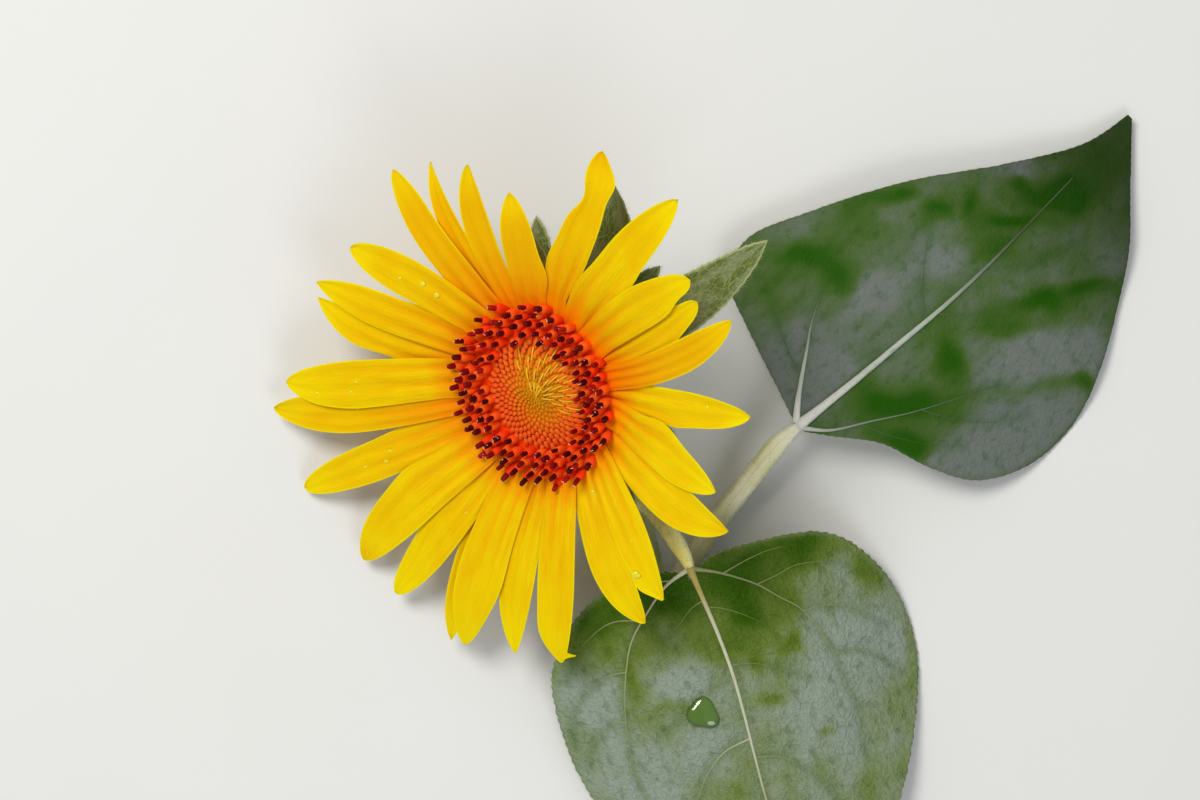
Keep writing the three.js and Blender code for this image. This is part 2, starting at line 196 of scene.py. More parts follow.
@dataclass
class Place:
    """How a sub-assembly's own coordinates become the frame's metres.

    Attributes:
        turn: The rotation from the sub-assembly to the drawing.
        origin: Where the sub-assembly's own origin is in the drawing, in millimetres.
    """

    turn: Array = field(default_factory=lambda: np.eye(3))
    origin: Array = field(default_factory=lambda: np.zeros(3))

    def drawn(self, points: Array) -> Array:
        """Turn the sub-assembly's points into the drawing's millimetres."""
        return points @ self.turn.T + self.origin

    def metres(self, points: Array) -> Array:
        """Turn the sub-assembly's points into the frame's metres."""
        return (self.drawn(points) - MIDDLE) * METRE


class Shape:
    """Gathers the points, faces, finishes and point values of one piece."""

    def __init__(self) -> None:
        """Start with nothing in the shape."""
        self.points: list[Array] = []
        self.faces: list[list[int]] = []
        self.finishes: list[int] = []
        self.values: dict[str, list[Array]] = {}
        self.flat: list[Array] = []
        self.count = 0

    def add(
        self, points: Array, faces: list[Array], finish: int | Array = 0, flat: Array | None = None,
        **values: Array,
    ) -> None:
        """Add one body to the shape.

        Args:
            points: The body's points, in millimetres.
            faces: Arrays of faces, each with three or four point numbers in a row.
            finish: The number of the body's finish, or one for each face.
            flat: The points' places on the flat pattern of the surface.
            values: Named values for each of the points.
        """
        points = np.asarray(points, float).reshape(-1, 3)
        rows = [row for group in faces for row in (np.asarray(group) + self.count).tolist()]
        self.faces += rows
        self.finishes += np.broadcast_to(finish, len(rows)).tolist()
        self.points.append(points)
        self.flat.append(np.zeros((len(points), 2)) if flat is None else flat.reshape(-1, 2))
        for name in values:
            self.values.setdefault(name, [np.zeros(self.count)])
        for name, held in self.values.items():
            given = np.broadcast_to(values.get(name, 0.0), len(points))
            held.append(given.astype(float))
        self.count += len(points)

    def add_blade(self, surface: Array, thickness: Array, flat: Array, **values: Array) -> None:
        """Add a thin closed body on both sides of a grid of points.

        Args:
            surface: The middle surface, rows outward and columns from right to left.
            thickness: The body's thickness at the grid's points.
            flat: The grid's places on the flat pattern.
            values: Named values that spread over the grid, the same for both faces.
        """
        half = np.zeros_like(surface)
        half[..., 2] = thickness / 2
        rows, columns = surface.shape[:2]
        count = rows * columns
        numbers = np.arange(count).reshape(rows, columns)
        quads = grid_quads(rows, columns)
        top = quads[:, [0, 3, 2, 1]]
        edge = np.concatenate([numbers[0, :-1], numbers[:-1, -1], numbers[-1, :0:-1], numbers[:0:-1, 0]])
        after = np.roll(edge, -1)
        rim = np.stack([after, after + count, edge + count, edge], axis=-1)
        both = {name: np.tile(np.broadcast_to(v, (rows, columns)).ravel(), 2) for name, v in values.items()}
        points = np.concatenate([(surface + half).reshape(-1, 3), (surface - half).reshape(-1, 3)])
        self.add(points, [top, quads + count, rim], flat=np.tile(flat.reshape(-1, 2), (2, 1)), **both)

    def add_rings(
        self, rings: Array, flat: Array | None = None, bands: tuple[int, ...] = (), **values: Array,
    ) -> None:
        """Add a closed body through rings of points, with a flat fan over each end.

        Args:
            rings: Ring by ring, points that run anticlockwise about the way ahead.
            flat: The rings' places on the flat pattern.
            bands: The finish after each ring but the last, then that of the start and of the end.
            values: Named values, one for each ring.
        """
        sides = rings.shape[1]
        body, faces = closed_rings(rings)
        if flat is not None:
            ends = np.stack([flat[0].mean(axis=0), flat[-1].mean(axis=0)])
            flat = np.concatenate([flat.reshape(-1, 2), ends])
        spread = {name: np.append(np.repeat(held, sides), held[[0, -1]]) for name, held in values.items()}
        self.add(body, faces, np.repeat(bands, sides) if bands else 0, flat, **spread)

    def add_copies(self, rings: Array, turns: Array, feet: Array, finish: Array) -> None:
        """Add many turned copies of one small body.

        Args:
            rings: The small body's rings of points.
            turns: A turning matrix for each copy, which may scale it too.
            feet: Where each copy's origin goes.
            finish: The number of each copy's finish.
        """
        body, faces = closed_rings(rings)
        copies = np.einsum("nij,pj->npi", turns, body) + feet[:, None, :]
        shifts = np.arange(len(feet))[:, None, None] * len(body)
        moved = [(group[None] + shifts).reshape(-1, group.shape[1]) for group in faces]
        marks = np.concatenate([np.repeat(finish, len(group)) for group in faces])
        self.add(copies.reshape(-1, 3), moved, marks)

    def add_drop(self, size: tuple[float, ...], spot: Array, sides: int, lobes: float = 0.04) -> None:
        """Add a drop of water.

        Args:
            size: Half its length, half its breadth, and its height.
            spot: The middle of its foot, with the drop's turn in radians as a fourth number.
            sides: Points in one of its rings.
            lobes: By what share it swells three times round.
        """
        profile = [
            (0.75, -0.12), (0.98, 0.0), (1.0, 0.12), (0.94, 0.42), (0.78, 0.7), (0.5, 0.9), (0.22, 0.985),
            (0.06, 1.0),
        ]
        rings = lathe(profile, sides, 3, lobes) * size @ turned(spot[3]).T
        self.add_rings(rings + spot[:3], lift=np.linspace(0, 1, len(rings)))

    def add_hairs(self, feet: Array, tips: Array, radius: float, finish: int = 0) -> None:
        """Add thin three-sided closed hairs.

        Args:
            feet: Where each hair starts.
            tips: Where each hair ends.
            radius: The hairs' radius at the foot.
            finish: The number of their finish.
        """
        ahead = unit(tips - feet)
        across = unit(np.cross(ahead, [0.31, 0.52, 0.79]))
        aside = np.cross(ahead, across)
        angles = np.radians([0, 120, 240])
        feet_ring = [feet + radius * (across * np.cos(a) + aside * np.sin(a)) for a in angles]
        points = np.stack([*feet_ring, tips], axis=1)
        first = np.arange(len(feet))[:, None, None] * 4
        faces = np.array([[0, 1, 3], [1, 2, 3], [2, 0, 3], [2, 1, 0]])
        self.add(points, [(first + faces).reshape(-1, 3)], finish)

    def add_fringe(self, surface: Array, count: int, reach: tuple[float, float], draw: Draw) -> None:
        """Add hairs along both edges of a blade.

        Args:
            surface: The blade's middle surface, as a grid.
            count: How many hairs an edge has.
            reach: The shortest and longest hair.
            draw: The source of chance.
        """
        for edge, inner in ((surface[:, 0], surface[:, 2]), (surface[:, -1], surface[:, -3])):
            feet = evenly(edge, count)
            outward = unit(feet - evenly(inner, count))
            slant = 0.4 * unit(np.gradient(feet, axis=0)) + draw.normal(0, 0.25, (count, 3))
            tips = feet + draw.uniform(*reach, (count, 1)) * unit(outward + slant)
            tips[:, 2] = np.where(feet[:, 2] > 0, np.maximum(tips[:, 2], 0.2), tips[:, 2])
            self.add_hairs(feet, tips, 0.05)

    def add_down(
        self, surface: Array, count: int, lie: Array, spread: float, draw: Draw, finish: int,
    ) -> None:
        """Add short hairs over the upper face of a blade.

        Args:
            surface: The blade's middle surface, as a grid.
            count: How many hairs there are.
            lie: The direction that they lie along.
            spread: How far they stray from it.
            draw: The source of chance.
            finish: The number of their finish.
        """
        rows, columns = (draw.integers(2, size - 2, count) for size in surface.shape[:2])
        feet = surface[rows, columns] + [0, 0, 0.2]
        tips = feet + draw.uniform(0.4, 0.9, (count, 1)) * unit(lie + draw.normal(0, spread, (count, 3)))
        self.add_hairs(feet, tips, 0.04, finish)

    def build(
        self, name: str, finishes: list[Material], place: Place, slot: Slot | None,
        nodes: tuple[str, ...] = (), corner: float = 0,
    ) -> None:
        """Make the piece with its finishes, hang it on the frame's body, and hide the solids that it stands
        for.

        Args:
            name: The piece's name.
            finishes: The materials that the finish numbers stand for.
            place: Where the shape's coordinates lie.
            slot: The record's material slot, if one fits. Not used.
            nodes: The solids that it stands for.
            corner: The angle in degrees past which an edge stays sharp, or 0 for none.
        """
        mesh = bpy.data.meshes.new(name)
        mesh.from_pydata(place.metres(np.concatenate(self.points)).tolist(), [], self.faces)
        mesh.polygons.foreach_set("material_index", self.finishes)
        mesh.polygons.foreach_set("use_smooth", [True] * len(self.faces))
        corners = np.zeros(len(mesh.loops), int)
        mesh.loops.foreach_get("vertex_index", corners)
        pattern = mesh.uv_layers.new(name="pattern")
        pattern.data.foreach_set("uv", np.concatenate(self.flat)[corners].ravel())
        for label, held in self.values.items():
            layer = mesh.attributes.new(label, "FLOAT", "POINT")
            layer.data.foreach_set("value", np.concatenate(held))
        if corner:
            mesh.set_sharp_from_angle(angle=math.radians(corner))
        for finish in finishes:
            mesh.materials.append(finish)
        piece = bpy.data.objects.new(name, mesh)
        bpy.context.scene.collection.objects.link(piece)
        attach(piece, BODY)
        if nodes:
            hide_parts(*nodes)
        LOG.info("%s: %d faces", piece.name, len(self.faces))


def closed_rings(rings: Array) -> tuple[Array, list[Array]]:
    """Close a stack of rings into one body.

    Args:
        rings: Ring by ring, points that run anticlockwise about the way ahead.

    Returns:
        The body's points and its faces.
    """
    count, sides = rings.shape[:2]
    ends = np.stack([rings[0].mean(axis=0), rings[-1].mean(axis=0)])
    points = np.concatenate([rings.reshape(-1, 3), ends])
    first = np.arange(sides)
    after = (first + 1) % sides
    start_cap = np.stack([np.full(sides, count * sides), after, first], axis=-1)
    last = (count - 1) * sides
    end_cap = np.stack([np.full(sides, count * sides + 1), last + first, last + after], axis=-1)
    return points, [grid_quads(count, sides, wrap=True), start_cap, end_cap]


def lathe(profile: list[tuple[float, float]], sides: int, lobes: int = 0, depth: float = 0) -> Array:
    """Turn a profile round the z axis, from its foot up.

    Args:
        profile: Radius and height of each ring.
        sides: Points in a ring.
        lobes: How many times the radius swells round a ring.
        depth: By what share it swells.

    Returns:
        The rings of points.
    """
    radius, height = np.array(profile).T
    bearing = ring_bearings(sides)
    swell = 1 + depth * np.cos(np.radians(bearing * lobes))
    return polar(radius[:, None] * swell, bearing[None, :], height[:, None])


def tube(path: Array, radius: Array, sides: int, up: Array, relief: Array | float = 1.0) -> Array:
    """Sweep a ring along a path.

    Args:
        path: The path's points.
        radius: The tube's radius at each point.
        sides: Points in a ring.
        up: The direction that the first point of a ring lies nearest to.
        relief: A share of the radius for each point of each ring.

    Returns:
        The rings of points.
    """
    side, other = carried_frames(path, up)
    angle = ring_angles(sides)
    reach = np.broadcast_to(radius, len(path))[:, None] * relief
    across = np.cos(angle)[None, :, None] * side[:, None] + np.sin(angle)[None, :, None] * other[:, None]
    return path[:, None] + across * np.broadcast_to(reach, (len(path), sides))[..., None]


class Recipe:
    """Adds and links the nodes of one material, whose colour is laid on coat by coat."""

    def __init__(self, name: str, colour: Colour) -> None:
        """Start a material with its shader.

        Args:
            name: The material's name.
            colour: The colour that the others are laid over.
        """
        self.colour = colour
        self.material = bpy.data.materials.new(name)
        self.material.use_nodes = True
        self.tree = self.material.node_tree
        self.shader = self.tree.nodes["Principled BSDF"]

    def node(self, kind: str, inputs: dict, **settings: object) -> bpy.types.Node:
        """Add one node.

        Args:
            kind: The node's kind, without the words ShaderNode.
            inputs: What goes into its sockets, by name or number: a socket or a value.
            settings: The node's own settings.

        Returns:
            The node.
        """
        made = self.tree.nodes.new("ShaderNode" + kind)
        for name, value in settings.items():
            setattr(made, name, value)
        for key, value in inputs.items():
            self.plug(made.inputs[key], value)
        return made

    def plug(self, socket: Socket, value: object) -> None:
        """Feed a socket.

        Args:
            socket: The socket.
            value: What goes into it: another socket or a value.
        """
        if isinstance(value, Socket):
            self.tree.links.new(value, socket)
        else:
            socket.default_value = value

    def value(self, name: str) -> Socket:
        """Read a value that the mesh holds at its points."""
        return self.node("Attribute", {}, attribute_name=name).outputs["Fac"]

    def pattern(self, across: float, along: float) -> Socket:
        """Read the flat pattern's coordinates, in millimetres times a stretch each way."""
        flat = self.node("UVMap", {}, uv_map="pattern").outputs["UV"]
        return self.node("Mapping", {"Vector": flat, "Scale": (across, along, 1.0)}).outputs["Vector"]

    def space(self, stretch: float) -> Socket:
        """Read the coordinates in the frame, in millimetres times a stretch."""
        here = self.node("TexCoord", {}).outputs["Object"]
        return self.node("Mapping", {"Vector": here, "Scale": (stretch / METRE,) * 3}).outputs["Vector"]

    def noise(self, vector: Socket, detail: float = 3.0) -> Socket:
        """Make cloudy noise round 0.5, with a number of finer layers."""
        return self.node("TexNoise", {"Vector": vector, "Scale": 1.0, "Detail": detail}).outputs["Fac"]

    def cloud(self, across: float, along: float, detail: float) -> Socket:
        """Make cloudy noise on the flat pattern, by its stretch each way and its number of finer layers."""
        return self.noise(self.pattern(across, along), detail)

    def cells(self, vector: Socket, scale: float) -> Socket:
        """Measure the distance to the nearest border between cells."""
        inputs = {"Vector": vector, "Scale": scale}
        return self.node("TexVoronoi", inputs, feature="DISTANCE_TO_EDGE").outputs["Distance"]

    def math(self, operation: str, first: object, second: object) -> Socket:
        """Combine two numbers."""
        return self.node("Math", {0: first, 1: second}, operation=operation).outputs[0]

    def plus(self, first: object, second: object) -> Socket:
        """Add two numbers."""
        return self.math("ADD", first, second)

    def times(self, first: object, second: object) -> Socket:
        """Multiply two numbers."""
        return self.math("MULTIPLY", first, second)

    def rise(self, value: object, low: float, high: float, start: float = 0, end: float = 1) -> Socket:
        """Map a value from low..high to start..end without corners."""
        inputs = {"Value": value, "From Min": low, "From Max": high, "To Min": start, "To Max": end}
        return self.node("MapRange", inputs, interpolation_type="SMOOTHSTEP").outputs["Result"]

    def lay(self, colour: Colour, share: object) -> None:
        """Lay a colour over what is there, by its share."""
        mixed = self.node("Mix", {0: share, 6: self.colour, 7: colour}, data_type="RGBA")
        self.colour = mixed.outputs[2]

    def veil(
        self, colour: Colour, value: object, low: float, high: float, start: float = 0, end: float = 1,
    ) -> None:
        """Lay a colour over what is there, by a share that follows a value as in rise."""
        self.lay(colour, self.rise(value, low, high, start, end))

    def bump(self, height: object, strength: float, depth: float) -> Socket:
        """Raise the surface by a pattern from 0 to 1, its height given in millimetres."""
        inputs = {"Height": height, "Strength": strength, "Distance": depth * METRE}
        return self.node("Bump", inputs).outputs["Normal"]

    def done(self, roughness: object, gloss: float, normal: object = None, **sockets: object) -> Material:
        """Fill the shader's sockets.

        Args:
            roughness: The roughness.
            gloss: The specular level.
            normal: The normal, if the surface has relief.
            sockets: Other sockets by name, with _ for a space.

        Returns:
            The material.
        """
        self.plug(self.shader.inputs["Base Color"], self.colour)
        self.plug(self.shader.inputs["Roughness"], roughness)
        self.plug(self.shader.inputs["Specular IOR Level"], gloss)
        if normal is not None:
            self.plug(self.shader.inputs["Normal"], normal)
        for name, value in sockets.items():
            self.plug(self.shader.inputs[name.replace("_", " ")], value)
        return self.material


@dataclass(frozen=True)
class PetalFinish:
    """Golden petals: orange at the root, with painted shade in the creases and on the rays that lie in shade,
    a painted lemon highlight along the rim, and fine lengthwise streaks.
    """

    gold: Colour = tone(240, 196, 2)
    lemon: Colour = tone(252, 230, 6)
    amber: Colour = tone(234, 164, 2)
    orange: Colour = tone(250, 138, 2)
    ember: Colour = tone(226, 74, 6)

    def make(self) -> Material:
        """Make the material.

        Returns:
            The material.
        """
        recipe = Recipe("petal_gold", self.gold)
        along, rim = recipe.value("along"), recipe.value("rim")
        orange_and_shade, crease_shade = recipe.value("orange_and_shade"), recipe.value("crease_shade")
        broad = recipe.cloud(0.5, 0.03, 2.0)
        fine = recipe.cloud(2.8, 0.08, 4.0)
        cloud = recipe.cloud(0.1, 0.05, 2.0)
        recipe.veil(self.lemon, cloud, 0.3, 0.7, 0.0, 0.35)
        recipe.veil(self.lemon, along, 0.7, 1.0, 0.0, 0.65)
        # Painted shade: the rays that lie in shade get more orange, besides their own orange.
        recipe.lay(self.amber, recipe.times(orange_and_shade, 0.7))
        streaks = recipe.times(recipe.rise(broad, 0.44, 0.66), recipe.rise(along, 0.95, 0.1, 0.0, 0.5))
        recipe.lay(self.amber, streaks)
        streaks = recipe.times(recipe.rise(fine, 0.5, 0.68), recipe.rise(along, 1.0, 0.1, 0.14, 0.45))
        recipe.lay(self.amber, streaks)
        # Painted shade: orange laid in the troughs of the pleats, most near the root.
        recipe.lay(self.orange, recipe.times(crease_shade, recipe.rise(along, 0.7, 0.0, 0.08, 0.62)))
        # Orange towards the root, stronger on the rays that carry painted shade.
        glow = recipe.times(recipe.rise(along, 0.5, 0.02), recipe.plus(orange_and_shade, 0.05))
        recipe.lay(self.orange, recipe.times(glow, 0.95))
        recipe.veil(self.orange, along, 0.21, 0.0, 0.0, 0.95)
        recipe.veil(self.ember, along, 0.09, 0.0, 0.0, 0.8)
        # Painted highlight: a lemon line along the edges, fading towards the root.
        edge = recipe.times(recipe.rise(rim, 0.5, 0.0), recipe.rise(along, 0.2, 0.6, 0.0, 0.8))
        recipe.lay(self.lemon, edge)
        height = recipe.plus(recipe.times(fine, 0.6), recipe.times(broad, 0.5))
        normal = recipe.bump(height, 0.8, 0.34)
        return recipe.done(
            recipe.rise(fine, 0.3, 0.7, 0.5, 0.62), 0.03, normal, Subsurface_Weight=0.2,
            Subsurface_Scale=1.2 * METRE, Subsurface_Radius=(1.0, 0.5, 0.05),
        )


@dataclass(frozen=True)
class GrainFinish:
    """One plain colour with a fine living grain, for the many small parts of the disc and for hairs."""

    name: str
    colour: Colour
    shade: float = 0.75
    roughness: float = 0.6
    glow: float = 0.0
    gloss: float = 0.2

    def make(self) -> Material:
        """Make the material.

        Returns:
            The material.
        """
        recipe = Recipe(self.name, (*(c * self.shade for c in self.colour[:3]), 1.0))
        grain = recipe.noise(recipe.space(1.9), 2.0)
        recipe.veil(self.colour, grain, 0.35, 0.65)
        inner = {"Subsurface_Weight": self.glow, "Subsurface_Scale": 0.8 * METRE}
        return recipe.done(self.roughness, self.gloss, recipe.bump(grain, 0.25, 0.1), **inner)


@dataclass(frozen=True)
class BladeFinish:
    """A leaf blade: green, with a painted grey sheen, clear dark patches, painted shade towards the tip and a
    net of fine veins.
    """

    name: str
    green: Colour
    # The grey paints the sheen of reflected light on the blade.
    grey: Colour
    deep: Colour
    net: Colour
    relief: float = 0.3
    shadow: Colour = tone(4, 12, 2)

    def make(self) -> Material:
        """Make the material.

        Returns:
            The material.
        """
        recipe = Recipe(self.name, self.green)
        patch, vein, rim = recipe.value("patch"), recipe.value("vein"), recipe.value("rim")
        drift = recipe.cloud(0.07, 0.1, 6.0)
        mottle = recipe.cloud(0.3, 0.4, 4.0)
        down = recipe.cloud(2.6, 1.7, 3.0)
        bend = recipe.times(mottle, 2.4)
        warped = recipe.node("VectorMath", {0: recipe.pattern(0.55, 0.62), 1: bend}).outputs["Vector"]
        small = recipe.cells(warped, 1.0)
        broad = recipe.cells(warped, 0.36)
        shown = recipe.plus(patch, recipe.times(recipe.math("SUBTRACT", drift, 0.5), 1.3))
        # Painted sheen: grey laid where the green patches are weak.
        recipe.veil(self.grey, shown, 0.35, -0.55)
        recipe.veil(self.deep, shown, 0.0, 1.15)
        recipe.veil(self.deep, mottle, 0.5, 0.72, 0.0, 0.4)
        faint = recipe.rise(shown, 0.6, -0.2, 0.05, 1.0)
        lines = recipe.plus(recipe.rise(small, 0.12, 0.0, 0.0, 0.12), recipe.rise(broad, 0.06, 0.0, 0.0, 0.2))
        recipe.lay(self.net, recipe.times(lines, faint))
        # Painted glints: grey specks on the down, kept to where the painted sheen lies.
        recipe.lay(self.grey, recipe.times(recipe.rise(down, 0.56, 0.72, 0.0, 0.4), faint))
        recipe.lay(self.deep, recipe.times(vein, 0.3))
        recipe.lay(self.net, recipe.times(rim, 0.45))
        recipe.lay(self.shadow, recipe.value("dim"))
        height = recipe.plus(recipe.rise(small, 0.0, 0.25), recipe.times(down, 0.7))
        height = recipe.plus(height, recipe.times(recipe.rise(broad, 0.0, 0.15), 0.7))
        normal = recipe.bump(height, 0.7, self.relief)
        return recipe.done(recipe.rise(mottle, 0.3, 0.7, 0.45, 0.65), 0.06, normal)


@dataclass(frozen=True)
class VeinFinish:
    """Leaf veins: pale near the leaf's foot, and the blade's own colour where they run out."""

    name: str
    pale: Colour
    tan: Colour
    fade: Colour

    def make(self) -> Material:
        """Make the material.

        Returns:
            The material.
        """
        recipe = Recipe(self.name, self.tan)
        run = recipe.value("run")
        fibre = recipe.cloud(2.2, 0.25, 3.0)
        recipe.veil(self.pale, run, 0.05, 0.3)
        recipe.veil(self.fade, run, 0.35, 0.95)
        recipe.veil(self.fade, fibre, 0.5, 0.72, 0.0, 0.45)
        return recipe.done(0.6, 0.15, recipe.bump(fibre, 0.5, 0.15))


@dataclass(frozen=True)
class StalkFinish:
    """Green stems and stalks: lengthwise fibres, a paler bloom and darker flecks."""

    name: str
    pale: Colour
    green: Colour
    fleck: Colour
    end: Colour = tone(184, 168, 100)

    def make(self) -> Material:
        """Make the material.

        Returns:
            The material.
        """
        recipe = Recipe(self.name, self.pale)
        fibre = recipe.cloud(1.5, 0.1, 4.0)
        cloud = recipe.cloud(0.12, 0.06, 3.0)
        spots = recipe.cloud(0.9, 0.5, 1.0)
        recipe.veil(self.green, cloud, 0.35, 0.7)
        recipe.veil(self.green, fibre, 0.5, 0.75, 0.0, 0.5)
        recipe.veil(self.fleck, spots, 0.68, 0.78, 0.0, 0.45)
        recipe.veil(self.end, recipe.value("run"), 0.75, 1.0)
        return recipe.done(0.6, 0.2, recipe.bump(fibre, 0.5, 0.25))


@dataclass(frozen=True)
class BractFinish:
    """Hairy green bracts: a grey down over green, with ribs from root to tip."""

    grey: Colour = tone(124, 134, 96)
    green: Colour = tone(88, 104, 44)
    light: Colour = tone(176, 184, 122)

    def make(self) -> Material:
        """Make the material.

        Returns:
            The material.
        """
        recipe = Recipe("bract_green", self.grey)
        rim, along = recipe.value("rim"), recipe.value("along")
        ribs = recipe.cloud(1.1, 0.05, 3.0)
        down = recipe.cloud(1.6, 1.4, 4.0)
        cloud = recipe.cloud(0.2, 0.1, 3.0)
        recipe.veil(self.green, cloud, 0.4, 0.62)
        recipe.veil(self.light, down, 0.55, 0.75, 0.0, 0.5)
        recipe.veil(self.green, ribs, 0.52, 0.7, 0.0, 0.25)
        net = recipe.cells(recipe.pattern(0.55, 0.35), 1.0)
        recipe.veil(self.light, net, 0.08, 0.0, 0.0, 0.4)
        recipe.veil(self.light, rim, 0.7, 0.2, 0.0, 0.8)
        recipe.veil(self.green, along, 0.3, 0.0, 0.0, 0.6)
        height = recipe.plus(ribs, recipe.times(down, 0.6))
        return recipe.done(0.7, 0.15, recipe.bump(height, 0.6, 0.3))


@dataclass(frozen=True)
class DropFinish:
    """Water in the colour of what shows through it, paler from its foot to its top: painted light that stands
    for the light passing through the drop.
    """

    name: str
    low: Colour
    high: Colour
    cover: float

    def make(self) -> Material:
        """Make the material.

        Returns:
            The material.
        """
        recipe = Recipe(self.name, self.low)
        # Painted light: the drop grows paler towards its top.
        recipe.veil(self.high, recipe.value("lift"), 0.2, 0.6)
        rough = recipe.rise(recipe.noise(recipe.space(0.6)), 0.3, 0.7, 0.02, 0.06)
        shell = {"Coat_Weight": 1.0, "Coat_IOR": 1.7, "Coat_Roughness": 0.03}
        return recipe.done(rough, 1.0, IOR=1.33, Alpha=self.cover, **shell)


@dataclass(frozen=True)
class FloorFinish:
    """A plain pale floor."""

    pale: Colour = tone(232, 231, 227)
    worn: Colour = tone(224, 223, 220)

    def make(self) -> Material:
        """Make the material.

        Returns:
            The material.
        """
        recipe = Recipe("floor_pale", self.pale)
        grain = recipe.noise(recipe.space(0.02), 2.0)
        recipe.veil(self.worn, grain, 0.3, 0.7, 0.0, 0.15)
        return recipe.done(0.7, 0.3)


@dataclass(frozen=True)
class Petal:
    """One ray of the bloom.

    Attributes:
        bearing: The bearing of its root, in degrees.
        middle_swing: How far its bearing has swung half way along.
        tip_swing: How far it has swung at the tip.
        reach: Its tip's distance from the middle of the disc.
        width: Its greatest width.
        tier: Its layer in the bloom, upward.
        orange_and_shade: How orange it is, from 0 to 1: partly the ray's own colour and partly painted shade
            on the rays that lie in shade.
        point: How pointed its tip is, from 0.5 for a round one to 0.9.
        burn: How much more orange its tip is.
        nicks: Where an edge draws in: 1 for the left one, seen from the disc, or -1, then the share along,
            the depth, which is below 0 where the edge swells instead, and the spread as a share.
        drops: Water drops on it: share along, share of the half width, and radius.
    """

    bearing: float
    middle_swing: float
    tip_swing: float
    reach: float
    width: float
    tier: int
    orange_and_shade: float = 0.2
    point: float = 0.6
    burn: float = 0.0
    nicks: tuple[tuple[float, float, float, float], ...] = ()
    drops: tuple[tuple[float, float, float], ...] = ()


